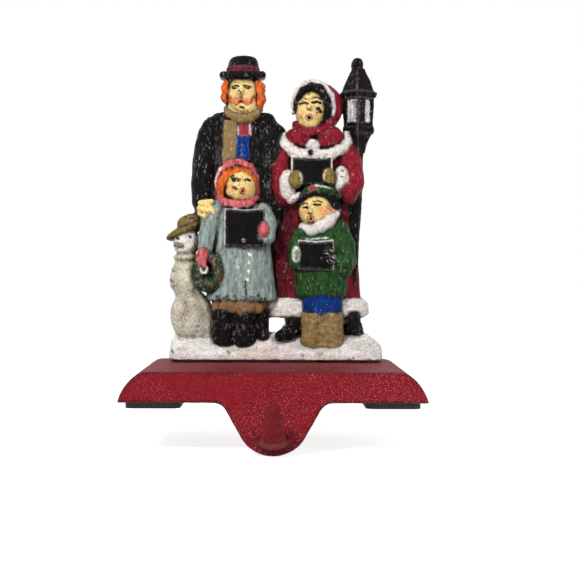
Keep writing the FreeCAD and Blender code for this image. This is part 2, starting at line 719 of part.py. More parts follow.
def add_block(body):
    """The block of the base, with its quarter round ends."""
    half, top_half = "base_length / 2", "base_top_length / 2"
    low, high = "pad_thick", "pad_thick + base_height"
    block = new_sketch(body, "block_outline", "XZ_Plane", "tongue_thick")
    corners = [(f"-1 * ( {half} )", low), (half, low), (top_half, high), (f"-1 * ( {top_half} )", high)]
    places = [Vector(worked_out(x), worked_out(y), 0) for x, y in corners]
    radius = size("base_end_radius")

    def end_arc(start, end):
        """The quarter round end between two places, bulging away from the middle."""
        chord = end.sub(start)
        middle = (start + end) * 0.5
        normal = Vector(chord.y, -chord.x, 0).normalize()
        centre = middle - normal * math.sqrt(radius ** 2 - (chord.Length / 2) ** 2)
        angles = [math.atan2(place.y - centre.y, place.x - centre.x) for place in (start, end)]
        return Part.ArcOfCircle(Part.Circle(centre, Vector(0, 0, 1), radius), *angles)

    block.addGeometry(Part.LineSegment(places[0], places[1]), False)
    block.addGeometry(end_arc(places[1], places[2]), False)
    block.addGeometry(Part.LineSegment(places[2], places[3]), False)
    block.addGeometry(end_arc(places[3], places[0]), False)
    for item in range(4):
        block.addConstraint(Sketcher.Constraint("Coincident", item, 2, (item + 1) % 4, 1))
        pin(block, item, 1, corners[item])
    for item in (1, 3):
        index = block.addConstraint(Sketcher.Constraint("Radius", item, radius))
        block.setExpression(f"Constraints[{index}]", cells("base_end_radius"))
    DOC.recompute()
    extrude(body, "Pad", "block", block, "base_depth", True)


def add_tongue(body):
    """The tongue: flanks tangent to its round tip, and rounded where they leave the block."""
    tongue = new_sketch(body, "tongue_outline", "XZ_Plane", "tongue_thick")
    tip, root_round = size("tongue_tip_radius"), size("tongue_root_round")
    root = size("tongue_root_width") / 2
    level = size("pad_thick")
    centre = Vector(0, level - size("tongue_drop") + tip, 0)
    away = Vector(root, level, 0) - centre
    touch = math.atan2(away.y, away.x) - math.acos(tip / away.Length)
    flank = centre + Vector(math.cos(touch), math.sin(touch), 0) * tip
    along = (Vector(root, level, 0) - flank).normalize()
    lean = math.atan2(along.y, along.x)
    set_back = root_round * math.tan(lean / 2)
    leave = Vector(root, level, 0) - along * set_back
    meet = Vector(root + set_back, level, 0)
    round_centre = Vector(meet.x, level - root_round, 0)
    seat = level + size("base_height") / 2

    def mirrored(place):
        return Vector(-place.x, place.y, 0)

    tongue.addGeometry([
        Part.ArcOfCircle(Part.Circle(centre, Vector(0, 0, 1), tip), math.pi - touch, 2 * math.pi + touch),
        Part.LineSegment(flank, leave),
        Part.ArcOfCircle(Part.Circle(round_centre, Vector(0, 0, 1), root_round),
                         math.pi / 2, math.pi / 2 + lean),
        Part.LineSegment(meet, Vector(meet.x, seat, 0)),
        Part.LineSegment(Vector(meet.x, seat, 0), Vector(-meet.x, seat, 0)),
        Part.LineSegment(Vector(-meet.x, seat, 0), mirrored(meet)),
        Part.ArcOfCircle(Part.Circle(mirrored(round_centre), Vector(0, 0, 1), root_round),
                         math.pi / 2 - lean, math.pi / 2),
        Part.LineSegment(mirrored(leave), mirrored(flank)),
    ], False)
    joins = [(0, 2, 1, 1), (1, 2, 2, 2), (2, 1, 3, 1), (3, 2, 4, 1), (4, 2, 5, 1), (5, 2, 6, 2),
             (6, 1, 7, 1), (7, 2, 0, 1)]
    for first, first_end, second, second_end in joins:
        smooth = {first, second} in ({0, 1}, {1, 2}, {6, 7}, {7, 0})
        kind = "Tangent" if smooth else "Coincident"
        tongue.addConstraint(Sketcher.Constraint(kind, first, first_end, second, second_end))
    for item, formula in ((0, "tongue_tip_radius"), (2, "tongue_root_round"), (6, "tongue_root_round")):
        index = tongue.addConstraint(Sketcher.Constraint("Radius", item, size(formula)))
        tongue.setExpression(f"Constraints[{index}]", cells(formula))
    pin(tongue, 0, 3, ("0", "pad_thick - tongue_drop + tongue_tip_radius"))
    DOC.recompute()
    extrude(body, "Pad", "tongue", tongue, "tongue_thick", True)


def add_hook(body):
    """The upturned hook: a horn lofted through ellipses along a bend and a short rise."""
    bend, floor = size("hook_bend_radius"), size("pad_thick") - size("tongue_drop") + size("hook_floor")
    middle_y = -size("tongue_thick") - HOOK_MIDDLE_SHARE * bend
    middle_z = floor + bend + size("hook_root_thick") / 2
    sections = []
    for share, turn in HOOK_TURNS:
        angle = math.radians(turn)
        place = Vector(0, middle_y - bend * math.sin(angle), middle_z - bend * math.cos(angle))
        sections.append((share, turn, place))
    last = sections[-1][2]
    rise = math.radians(sections[-1][1])
    for share, along in HOOK_RISES:
        step = size("hook_rise") * along
        sections.append((share, sections[len(HOOK_TURNS) - 1][1],
                         last + Vector(0, -math.cos(rise), math.sin(rise)) * step))
    wide = (size("hook_root_width"), size("hook_tip_width"))
    thick = (size("hook_root_thick"), size("hook_tip_thick"))
    sketches = []
    for number, (share, turn, place) in enumerate(sections):
        half_width = (wide[0] + (wide[1] - wide[0]) * share) / 2
        half_thick = (thick[0] + (thick[1] - thick[0]) * share) / 2
        if number == len(sections) - 1:
            half_width, half_thick = half_width * HOOK_DOME, half_thick * HOOK_DOME
        section = new_sketch(body, f"hook_section_{number}", "XY_Plane")
        section.AttachmentOffset = Placement(place, Rotation(Vector(1, 0, 0), 90.0 - turn))
        corners = [Vector(half_width * math.cos(angle), half_thick * math.sin(angle), 0)
                   for angle in (2 * math.pi * step / HOOK_SIDES for step in range(HOOK_SIDES))]
        for corner, following in zip(corners, corners[1:] + corners[:1]):
            section.addGeometry(Part.LineSegment(corner, following), False)
        sketches.append(section)
    DOC.recompute()
    horn = body.newObject("PartDesign::AdditiveLoft", "hook")
    horn.Profile = sketches[0]
    horn.Sections = sketches[1:]
    DOC.recompute()


def add_recess(body):
    """The recess under the block, which saves iron and gives room for the screw heads."""
    recess = new_sketch(body, "recess_outline", "XY_Plane", "pad_thick")
    back = "base_depth - tongue_thick - back_wall"
    front = "front_wall - tongue_thick"
    rectangle(recess, "0", f"( {front} + {back} ) / 2", "recess_length", f"{back} - ( {front} )")
    pocket = extrude(body, "Pocket", "recess", recess, "base_height - top_wall", True)
    level, ceiling = size("pad_thick"), size("pad_thick") + size("base_height") - size("top_wall")
    half = size("recess_length") / 2
    corners = edges_where(pocket, lambda box: upright(box) and abs(abs(box.XMin) - half) < 0.01
                          and abs(box.ZMin - level) < 0.01 and abs(box.ZMax - ceiling) < 0.01)
    dress(body, "Fillet", "recess_corners", pocket, corners, "recess_corner")
    holes = new_sketch(body, "screw_hole_places", "XY_Plane", "pad_thick + base_height")
    for side in ("1", "-1"):
        circle(holes, f"{side} * screw_spacing / 2", GROUP_MIDDLE,
               "screw_thread / 2 + shank_clearance")
    return extrude(body, "Pocket", "screw_holes", holes, "top_wall + boss_height")


def add_rounds(body, solid):
    """Cast rounding along the front's outline and the top's two long edges."""
    front = -size("tongue_thick")
    top = size("pad_thick") + size("base_height")
    back = front + size("base_depth")
    above = edges_where(solid, lambda box: abs(box.ZMin - top) < 0.01 and abs(box.ZMax - top) < 0.01
                        and box.XLength > size("screw_spacing")
                        and (abs(box.YMin - front) < 0.01 or abs(box.YMax - back) < 0.01))
    dress(body, "Fillet", "top_rounds", solid, above, "base_edge_round")


def base_casting():
    """The red cast base."""
    body = DOC.addObject("PartDesign::Body", "base_casting")
    body.Label = "base_casting"
    add_block(body)
    add_tongue(body)
    add_hook(body)
    add_rounds(body, add_recess(body))
    return body


def pad(side, name):
    """A rubber pad under one end of the base."""
    body = DOC.addObject("PartDesign::Body", name)
    body.Label = name
    middle = "base_length / 2 - pad_end_margin - pad_length / 2"
    outline = new_sketch(body, f"{name}_outline", "XY_Plane")
    rectangle(outline, f"{side} * ( {middle} )", "base_depth / 2 - tongue_thick", "pad_length",
              "pad_depth")
    block = extrude(body, "Pad", f"{name}_sheet", outline, "pad_thick")
    dress(body, "Fillet", f"{name}_corners", block, edges_where(block, upright), "pad_corner")
    return body


def screw(side, name):
    """A slotted pan head screw, driven up through the base into the group."""
    body = DOC.addObject("PartDesign::Body", name)
    body.Label = name
    profile = new_sketch(body, f"{name}_profile", "XZ_Plane")
    head, shank = "screw_head / 2", "screw_thread / 2"
    polygon(profile, [
        ("0", "-1 * screw_head_height"),
        (f"{head} - 2 * screw_chamfer", "-1 * screw_head_height"),
        (head, "screw_chamfer - screw_head_height"),
        (head, "0"),
        (shank, "0"),
        (shank, "screw_length - screw_chamfer"),
        (f"{shank} - screw_chamfer", "screw_length"),
        ("0", "screw_length"),
    ])
    DOC.recompute()
    turned = body.newObject("PartDesign::Revolution", f"{name}_turning")
    turned.Profile = profile
    turned.ReferenceAxis = (profile, ["V_Axis"])
    turned.Angle = 360.0
    DOC.recompute()
    slot = new_sketch(body, f"{name}_slot", "XY_Plane", "-1 * screw_head_height")
    rectangle(slot, "0", "0", "slot_width", "screw_head + slot_width")
    extrude(body, "Pocket", f"{name}_drive", slot, "slot_depth", True)
    body.setExpression("Placement.Base.x", cells(f"{side} * screw_spacing / 2"))
    body.setExpression("Placement.Base.y", cells(GROUP_MIDDLE))
    body.setExpression("Placement.Base.z", cells("pad_thick + base_height - top_wall"))
    return body


def snow():
    """The snow under the group: a slab with sloping ends and a long slope to its front lip."""
    body = DOC.addObject("PartDesign::Body", "snow")
    outline = new_sketch(body, "snow_outline", "XY_Plane")
    rectangle(outline, "snow_across", "-1 * snow_front / 2", "snow_length", "snow_front")
    slab_pad = extrude(body, "Pad", "snow_slab", outline, "snow_top")
    corners = edges_where(slab_pad, lambda box: upright(box)
                          and abs(box.YMin + size("snow_front")) < 0.01)
    dress(body, "Fillet", "snow_corners", slab_pad, corners, "snow_corner")
    slope = new_sketch(body, "snow_slope_outline", "YZ_Plane")
    polygon(slope, [
        ("-1 * snow_front - snow_slope", "snow_lip - snow_top + snow_lip"),
        ("0 - snow_front", "snow_lip"),
        ("snow_slope - snow_front", "snow_top"),
        ("snow_slope - snow_front", "snow_top + snow_slope"),
        ("-1 * snow_front - snow_slope", "snow_top + snow_slope"),
    ])
    DOC.recompute()
    front_cut = body.newObject("PartDesign::Pocket", "snow_front_slope")
    front_cut.Profile = slope
    front_cut.Midplane = True
    front_cut.setExpression("Length", cells("snow_length * 2"))
    DOC.recompute()
    ends = new_sketch(body, "snow_end_outline", "XZ_Plane")
    for side, slope in (("1", "snow_right_slope"), ("-1", "snow_left_slope")):
        end = f"snow_across + {side} * snow_length / 2"
        polygon(ends, [
            (end, "snow_lip"),
            (f"{end} + {side} * {slope}", "snow_lip"),
            (f"{end} + {side} * {slope}", f"snow_top + {slope}"),
            (f"{end} - {side} * {slope}", f"snow_top + {slope}"),
            (f"{end} - {side} * {slope}", "snow_top"),
        ][::1 if side == "1" else -1])
    DOC.recompute()
    end_cut = body.newObject("PartDesign::Pocket", "snow_end_slopes")
    end_cut.Profile = ends
    end_cut.Midplane = True
    end_cut.setExpression("Length", cells("snow_front * 3"))
    DOC.recompute()
    return body


def carolers_casting():
    """The painted group: snow, six figures and forms, and two bosses with screw holes."""
    members = [snow()]
    for carve in (man, woman, girl, boy, snowman, lamp):
        forms = carve()
        member = DOC.addObject("Part::Feature", carve.__name__)
        member.Shape = forms[0].fuse(forms[1:])
        members.append(member)
    whole = DOC.addObject("Part::MultiFuse", "group_forms")
    whole.Shapes = members
    for side in ("1", "-1"):
        seat = DOC.addObject("Part::Cylinder", "boss_right" if side == "1" else "boss_left")
        seat.setExpression("Radius", cells("boss_width / 2"))
        seat.setExpression("Height", cells("boss_height + snow_lip / 2"))
        seat.setExpression("Placement.Base.x", cells(f"{side} * screw_spacing / 2"))
        seat.setExpression("Placement.Base.y", cells("-1 * snow_front / 2"))
        seat.setExpression("Placement.Base.z", cells("-1 * boss_height"))
        members.append(seat)
    whole.Shapes = members
    cutters = []
    behind = DOC.addObject("Part::Box", "behind_the_back")
    behind.Length, behind.Width, behind.Height = (BACK_ROOM, BACK_ROOM, BACK_ROOM)
    behind.Placement.Base = Vector(-BACK_ROOM / 2, 0, -BACK_ROOM / 4)
    cutters.append(behind)
    for side in ("1", "-1"):
        hole = DOC.addObject("Part::Cylinder", "thread_right" if side == "1" else "thread_left")
        hole.setExpression("Radius", cells("screw_thread / 2 + thread_clearance"))
        hole.setExpression("Height", cells("screw_length - top_wall + thread_spare"))
        hole.setExpression("Placement.Base.x", cells(f"{side} * screw_spacing / 2"))
        hole.setExpression("Placement.Base.y", cells("-1 * snow_front / 2"))
        hole.setExpression("Placement.Base.z", cells("-1 * boss_height"))
        cutters.append(hole)
    away = DOC.addObject("Part::MultiFuse", "cut_away")
    away.Shapes = cutters
    group = DOC.addObject("Part::Cut", "carolers_casting")
    group.Base, group.Tool = whole, away
    group.Label = "carolers_casting"
    group.Refine = True
    group.setExpression("Placement.Base.y", cells("base_depth - tongue_thick - group_back_margin"))
    group.setExpression("Placement.Base.z", cells("pad_thick + base_height + boss_height"))
    return group


def check(parts):
    """Stops if any object failed, or a sub-part is empty, broken or in several pieces."""
    for item in DOC.Objects:
        if "Invalid" in item.State or "Error" in item.State:
            raise RuntimeError(f"{item.Name} failed: {item.State}")
    for item in parts:
        if item.Shape.isNull() or not item.Shape.isValid():
            raise RuntimeError(f"{item.Label} has no valid shape")
        if len(item.Shape.Solids) != 1:
            raise RuntimeError(f"{item.Label} is in {len(item.Shape.Solids)} pieces")


def main():
    """Builds every sub-part and writes one file for each."""
    parts = [base_casting(), carolers_casting(), pad("-1", "pad_left"), pad("1", "pad_right"),
             screw("-1", "screw_left"), screw("1", "screw_right")]
    DOC.recompute()
    check(parts)
    os.makedirs("parts", exist_ok=True)
    for item in parts:
        item.Shape.exportStep(f"parts/{item.Label}.step")
        box = item.Shape.BoundBox
        print(f"{item.Label}: {item.Shape.Volume:.0f} mm3, x {box.XMin:.1f} to {box.XMax:.1f}, "
              f"y {box.YMin:.1f} to {box.YMax:.1f}, z {box.ZMin:.1f} to {box.ZMax:.1f}")


main()
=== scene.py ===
"""Looks of the mantel stocking holder: red cast base, painted group of carol singers, pads, screws.

The group and the base are carved here as distance fields. Each lump of the carving is a form
with a size in millimetres, the forms melt into one another as a casting's do, and the skin of
the whole is one mesh. Paint is laid on that mesh form by form, with brushed edges, and the small
strokes such as eyes and buttons are marks on top.
"""

import json
import logging
import math
from dataclasses import dataclass, field, fields
from enum import Enum
from functools import reduce
from typing import Optional, Sequence, Union

import bpy
import numpy as np
import openvdb
from mathutils import Quaternion, Vector
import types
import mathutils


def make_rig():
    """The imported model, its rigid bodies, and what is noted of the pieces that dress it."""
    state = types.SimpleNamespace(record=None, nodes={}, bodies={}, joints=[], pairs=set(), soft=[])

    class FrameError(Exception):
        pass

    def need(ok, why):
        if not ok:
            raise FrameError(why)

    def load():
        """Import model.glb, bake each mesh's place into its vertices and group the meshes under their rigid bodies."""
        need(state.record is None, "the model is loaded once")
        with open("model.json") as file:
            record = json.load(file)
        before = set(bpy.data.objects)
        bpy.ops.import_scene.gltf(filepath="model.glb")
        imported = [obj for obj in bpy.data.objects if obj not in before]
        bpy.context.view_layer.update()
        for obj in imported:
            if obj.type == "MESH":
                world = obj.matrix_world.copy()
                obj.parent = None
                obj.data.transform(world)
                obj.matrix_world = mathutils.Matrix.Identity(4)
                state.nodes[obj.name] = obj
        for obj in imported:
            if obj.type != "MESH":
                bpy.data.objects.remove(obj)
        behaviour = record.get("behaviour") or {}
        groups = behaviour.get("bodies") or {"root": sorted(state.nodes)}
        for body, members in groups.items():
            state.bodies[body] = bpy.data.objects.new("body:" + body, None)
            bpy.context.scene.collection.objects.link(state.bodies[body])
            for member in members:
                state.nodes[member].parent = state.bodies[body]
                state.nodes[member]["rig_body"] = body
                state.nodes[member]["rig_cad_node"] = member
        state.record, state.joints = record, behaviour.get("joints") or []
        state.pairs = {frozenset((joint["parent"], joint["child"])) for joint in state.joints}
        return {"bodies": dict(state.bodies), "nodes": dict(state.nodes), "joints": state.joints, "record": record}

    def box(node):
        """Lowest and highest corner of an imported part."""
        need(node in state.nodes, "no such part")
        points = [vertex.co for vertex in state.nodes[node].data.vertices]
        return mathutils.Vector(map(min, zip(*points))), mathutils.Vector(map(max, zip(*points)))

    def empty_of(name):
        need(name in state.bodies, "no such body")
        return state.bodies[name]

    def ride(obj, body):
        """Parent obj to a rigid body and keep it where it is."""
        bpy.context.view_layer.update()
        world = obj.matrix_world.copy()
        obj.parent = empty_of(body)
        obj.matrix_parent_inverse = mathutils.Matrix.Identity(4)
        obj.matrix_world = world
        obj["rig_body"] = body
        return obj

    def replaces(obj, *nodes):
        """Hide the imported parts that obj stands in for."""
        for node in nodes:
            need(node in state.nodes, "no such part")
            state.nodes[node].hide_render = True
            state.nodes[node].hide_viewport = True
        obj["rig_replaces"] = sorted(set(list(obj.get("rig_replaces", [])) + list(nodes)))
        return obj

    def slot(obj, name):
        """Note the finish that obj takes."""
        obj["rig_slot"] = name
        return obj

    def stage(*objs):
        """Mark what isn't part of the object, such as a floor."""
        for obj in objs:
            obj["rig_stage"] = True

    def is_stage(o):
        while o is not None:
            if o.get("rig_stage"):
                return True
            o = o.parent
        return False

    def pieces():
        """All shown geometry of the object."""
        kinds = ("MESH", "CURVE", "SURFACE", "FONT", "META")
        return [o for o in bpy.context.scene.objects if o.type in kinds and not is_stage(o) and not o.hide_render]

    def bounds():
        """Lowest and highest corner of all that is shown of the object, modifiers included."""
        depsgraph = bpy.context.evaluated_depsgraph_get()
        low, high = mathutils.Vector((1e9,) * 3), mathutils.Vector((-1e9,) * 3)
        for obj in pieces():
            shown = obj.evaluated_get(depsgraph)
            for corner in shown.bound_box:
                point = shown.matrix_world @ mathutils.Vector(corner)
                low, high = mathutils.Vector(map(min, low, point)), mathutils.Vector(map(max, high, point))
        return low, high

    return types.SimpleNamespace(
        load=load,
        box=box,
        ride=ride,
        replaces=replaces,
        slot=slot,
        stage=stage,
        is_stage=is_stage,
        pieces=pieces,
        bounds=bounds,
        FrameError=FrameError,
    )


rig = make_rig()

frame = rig.load()
log = logging.getLogger("stocking_holder")

Array = np.ndarray
Point = tuple[float, float, float]
Extent = tuple[float, float, float, float]
Socket = bpy.types.NodeSocket
Value = Union[Socket, float]
Tint = Union[Socket, Sequence[float]]
MM = 0.001
AIR = 6.0
FAR = 99.0
SCREWS_ACROSS = (-26.0, 26.0)
SCREWS_OUT = 12.0


def linear(value: float) -> float:
    """Turns a display value from 0 to 1 into linear light."""
    return value / 12.92 if value <= 0.04045 else ((value + 0.055) / 1.055) ** 2.4


def rgb(red: float, green: float, blue: float) -> Point:
    """A display colour out of 255 as linear light."""
    return linear(red / 255), linear(green / 255), linear(blue / 255)


class Grain(Enum):
    """Small relief on a form: (depth in mm, spacing of its bumps across, up and out in mm)."""

    PLAIN = (0.14, (2.6, 2.6, 2.6))
    FUR = (0.50, (1.5, 1.5, 1.5))
    HAIR = (0.46, (1.0, 4.4, 1.9))
    WOOL = (0.36, (1.1, 1.5, 1.6))
    LEAF = (0.70, (1.3, 1.3, 1.3))
    CLOTH = (0.34, (1.5, 5.6, 2.2))
    COAT = (0.44, (1.4, 5.0, 2.2))
    SNOW = (0.36, (1.9, 1.9, 1.9))
    CRUMPLED = (0.62, (2.4, 1.8, 2.2))
    CAST = (0.10, (3.0, 3.0, 3.0))


@dataclass(frozen=True)
class Coat:
    """A paint: display colour out of 255, roughness, how gritty it dries, relief that it covers."""

    shade: tuple[int, int, int]
    roughness: float
    grit: float = 0.35
    grain: Grain = Grain.PLAIN

    def colour(self) -> Point:
        """The paint's colour as linear light."""
        return rgb(*self.shade)


class Paint(Enum):
    """The paints on the casting."""

    COAT_BLACK = Coat((15, 13, 13), 0.22, grain=Grain.COAT)
    HAT_BAND = Coat((104, 32, 46), 0.4)
    ORANGE_HAIR = Coat((206, 94, 38), 0.42, grain=Grain.HAIR)
    SKIN = Coat((238, 208, 134), 0.42, grit=0.72)
    CHIN = Coat((166, 132, 78), 0.5, grit=0.6)
    KHAKI = Coat((140, 116, 76), 0.5, grit=0.6, grain=Grain.WOOL)
    TIE = Coat((140, 38, 58), 0.45)
    SHIRT = Coat((214, 176, 172), 0.5)
    VEST_BLUE = Coat((8, 50, 118), 0.34)
    DRESS = Coat((130, 27, 42), 0.34, grain=Grain.CLOTH)
    FUR = Coat((226, 218, 212), 0.55, grit=0.8, grain=Grain.FUR)
    BLACK_HAIR = Coat((17, 13, 14), 0.26, grain=Grain.HAIR)
    GLOVE = Coat((134, 114, 62), 0.46)
    BOOK = Coat((11, 10, 11), 0.3, grit=0.0)
    PAGE = Coat((214, 206, 202), 0.55, grit=0.5)
    WINE = Coat((58, 18, 26), 0.36)
    SNOWMAN = Coat((204, 198, 182), 0.55, grit=1.5, grain=Grain.SNOW)
    PINK = Coat((190, 92, 94), 0.4, grit=0.25)
    GREY_COAT = Coat((138, 150, 144), 0.46, grit=0.45, grain=Grain.CLOTH)
    TAN = Coat((134, 100, 66), 0.55, grit=0.6, grain=Grain.CRUMPLED)
    BOOT = Coat((17, 14, 13), 0.24, grain=Grain.CRUMPLED)
    WREATH = Coat((38, 62, 42), 0.5, grain=Grain.LEAF)
    CREAM_BOW = Coat((206, 216, 200), 0.5)
    GREEN = Coat((38, 72, 32), 0.3, grit=0.34, grain=Grain.CLOTH)
    BLUE = Coat((10, 48, 114), 0.34)
    GAITER = Coat((140, 115, 74), 0.46, grit=0.5, grain=Grain.CRUMPLED)
    SNOW = Coat((230, 226, 220), 0.55, grit=1.0, grain=Grain.SNOW)
    OLIVE = Coat((122, 106, 58), 0.5, grit=0.6)
    LAMP = Coat((18, 11, 10), 0.25)
    PANE = Coat((206, 204, 206), 0.45, grit=0.5)
    MOUTH = Coat((92, 40, 34), 0.5)
    BERRY = Coat((126, 34, 44), 0.45)
    CHIP = Coat((30, 24, 22), 0.6)
    PALE = Coat((244, 236, 226), 0.5, grit=0.6)
    CHEEK = Coat((232, 140, 100), 0.45)
    STEM = Coat((104, 124, 82), 0.5)
    RED_CAST = Coat((142, 34, 46), 0.3, grain=Grain.CAST)


class Relief:
    """Random bumps over a whole block of clay, worked out once for each grain."""

    def __init__(self, axes: Sequence[Array], seed: int = 11) -> None:
        """Keeps the block's axes.

        Args:
            axes: the places of its cells across, up and out.
            seed: start of the random numbers.
        """
        self.axes = axes
        self.random = np.random.default_rng(seed)
        self.made: dict[Grain, Array] = {}

    def field(self, grain: Grain) -> Array:
        """The height of a grain at every cell of the block."""
        if grain not in self.made:
            depth, lengths = grain.value
            finer = [length * 0.55 for length in lengths]
            whole = 0.72 * self.layer(lengths) + 0.42 * self.layer(finer)
            self.made[grain] = (depth * whole).astype(np.float32)
        return self.made[grain]

    def layer(self, lengths: Sequence[float]) -> Array:
        """One layer of smooth random values from minus one to one.

        Args:
            lengths: distances between the random values across, up and out.

        Returns:
            A value for every cell.
        """
        weights = []
        for axis, length in zip(self.axes, lengths):
            place = (axis - axis[0]) / length
            low = np.floor(place).astype(int)
            share = place - low
            share = share * share * (3 - 2 * share)
            table = np.zeros((len(axis), low[-1] + 2), dtype=np.float32)
            table[np.arange(len(axis)), low] = 1 - share
            table[np.arange(len(axis)), low + 1] = share
            weights.append(table)
        values = self.random.uniform(-1, 1, [table.shape[1] for table in weights]).astype(np.float32)
        values = np.einsum("ia,abc->ibc", weights[0], values, optimize=True)
        values = np.einsum("jb,ibc->ijc", weights[1], values, optimize=True)
        return np.einsum("kc,ijc->ijk", weights[2], values, optimize=True)


def turned(u: Array, v: Array, degrees: float) -> tuple[Array, Array]:
    """Turns offsets back by an angle, so that a tilted form can be measured upright."""
    if not degrees:
        return u, v
    cosine, sine = math.cos(math.radians(degrees)), math.sin(math.radians(degrees))
    return u * cosine + v * sine, v * cosine - u * sine


def rounded(sides: Sequence[Array], edge: float) -> Array:
    """Distance to what lies inside all of some sides, each already moved in by the edge's radius."""
    outside = np.sqrt(sum(np.maximum(side, 0) ** 2 for side in sides))
    return outside + np.minimum(reduce(np.maximum, sides), 0) - edge


def oval(offsets: Sequence[Array], radii: Sequence) -> Array:
    """Distance to an ellipse or ellipsoid with the given radii, close to true near its skin."""
    whole = np.sqrt(sum((o / r) ** 2 for o, r in zip(offsets, radii)) + 1e-9)
    slope = np.sqrt(sum((o / (r * r)) ** 2 for o, r in zip(offsets, radii)) + 1e-9)
    return whole * (whole - 1.0) / slope


@dataclass(frozen=True)
class Form:
    """One lump of the carving, in mm: across, height above the snow's underside, out."""

    paint: Paint
    blend: float = field(default=0.7, kw_only=True)
    grain: Optional[Grain] = field(default=None, kw_only=True)

    def relief(self) -> Grain:
        """The form's own relief, or the one that its paint usually covers."""
        return self.grain or self.paint.value.grain

    def distance(self, x: Array, h: Array, d: Array) -> Array:
        """Distance from each place to the form's skin, negative inside."""
        raise NotImplementedError

    def reach(self) -> Extent:
        """Lowest and highest place across, then lowest and highest height."""
        raise NotImplementedError


Forms = tuple[Form, ...]


@dataclass(frozen=True)
class Pod(Form):
    """A rounded lump whose sides run straight back behind its middle."""

    at: Point
    size: Point
    tilt: float = 0.0

    def distance(self, x: Array, h: Array, d: Array) -> Array:
        """Distance to the lump."""
        u, v = turned(x - self.at[0], h - self.at[1], self.tilt)
        return oval((u, v, np.maximum(d - self.at[2], 0)), self.size)

    def reach(self) -> Extent:
        """The lump's extent seen from the front."""
        far = max(self.size[:2])
        return self.at[0] - far, self.at[0] + far, self.at[1] - far, self.at[1] + far


@dataclass(frozen=True)
class Tube(Form):
    """A limb, roll or strand through points, each (across, height, out, radius)."""

    points: tuple[Extent, ...]
    deep: bool = True

    def distance(self, x: Array, h: Array, d: Array) -> Array:
        """Distance to the nearest stretch of the tube."""
        nearest = None
        for start, end in zip(self.points, self.points[1:]):
            run = [b - a for a, b in zip(start[:3], end[:3])]
            length = sum(step * step for step in run) or 1.0
            offsets = (x - start[0], h - start[1], d - start[2])
            share = np.clip(sum(o * step for o, step in zip(offsets, run)) / length, 0, 1)
            out = offsets[2] - run[2] * share
            if self.deep:
                out = np.maximum(out, 0)
            gap = np.sqrt((offsets[0] - run[0] * share) ** 2 + (offsets[1] - run[1] * share) ** 2
                          + out ** 2)
            stretch = gap - (start[3] + (end[3] - start[3]) * share)
            nearest = stretch if nearest is None else melt(nearest, stretch, 0.5)
        return nearest

    def reach(self) -> Extent:
        """The tube's extent seen from the front."""
        return (min(p[0] - p[3] for p in self.points), max(p[0] + p[3] for p in self.points),
                min(p[1] - p[3] for p in self.points), max(p[1] + p[3] for p in self.points))


@dataclass(frozen=True)
class Column(Form):
    """A standing form through rings, each (height, middle across, half width)."""

    rings: tuple[Point, ...]
    front: float
    bulge: float
    folds: float = 0.0
    fold_depth: float = 0.0
    ends: float = 1.2

    def distance(self, x: Array, h: Array, d: Array) -> Array:
        """Distance to the standing form, with its upright folds."""
        levels, middles, halves = smooth_rings(self.rings)
        middle = np.interp(h, levels, middles)
        half = np.interp(h, levels, halves)
        bulge = self.bulge * np.sqrt(half / max(halves))
        u = (x - middle) / half
        w = np.maximum(d - (self.front - self.bulge), 0)
        side = oval(((x - middle), w), (half, bulge))
        if self.folds:
            wave = np.cos(math.pi * self.folds * (u + 0.06 * np.sin(h * 0.35)) + h * 0.03)
            side = side + self.fold_depth * (0.5 - 0.5 * wave) * np.clip(1.15 - abs(u), 0, 1)
        side = side + self.ends
        end = np.maximum(levels[0] + self.ends - h, h - levels[-1] + self.ends)
        return rounded((side, end), self.ends)

    def reach(self) -> Extent:
        """The form's extent seen from the front."""
        return (min(r[1] - r[2] for r in self.rings), max(r[1] + r[2] for r in self.rings),
                self.rings[0][0], self.rings[-1][0])


def smooth_rings(rings: Sequence[Point]) -> tuple[Array, Array, Array]:
    """Rounds the profile through a column's rings.

    Args:
        rings: (height, middle, half width) from the bottom up.

    Returns:
        Heights, middles and half widths, closely spaced.
    """
    table = np.array(rings)
    levels = np.linspace(table[0, 0], table[-1, 0], 48)
    soft = (table[-1, 0] - table[0, 0]) * 0.035
    sides = []
    for column in (1, 2):
        spread = [np.interp(levels + soft * step, table[:, 0], table[:, column])
                  for step in range(-2, 3)]
        sides.append(np.mean(spread, axis=0))
    return levels, sides[0], sides[1]


@dataclass(frozen=True)
class Block(Form):
    """A flat sided block such as a book: its middle, half sizes, and how far out it reaches."""

    at: tuple[float, float]
    half: tuple[float, float]
    back: float
    front: float
    tilt: float = 0.0
    edge: float = 0.5
    spine: float = 0.0
    dip: float = 0.0

    def distance(self, x: Array, h: Array, d: Array) -> Array:
        """Distance to the block, whose faces may fall back from a spine and dip at the top."""
        u, v = turned(x - self.at[0], h - self.at[1], self.tilt)
        across = abs(u) - self.half[0] + self.edge
        lift = self.dip * np.clip(1 - abs(u) / self.half[0], 0, 1)
        up = np.maximum(v - self.half[1] + lift, -v - self.half[1]) + self.edge
        middle, deep = (self.front + self.back) / 2, (self.front - self.back) / 2
        out = abs(d - middle + self.spine * abs(u) / self.half[0]) - deep + self.edge
        return rounded((across, up, out), self.edge)

    def reach(self) -> Extent:
        """The block's extent seen from the front."""
        far = math.hypot(*self.half) if self.tilt else 0
        wide, tall = max(self.half[0], far), max(self.half[1], far)
        return self.at[0] - wide, self.at[0] + wide, self.at[1] - tall, self.at[1] + tall


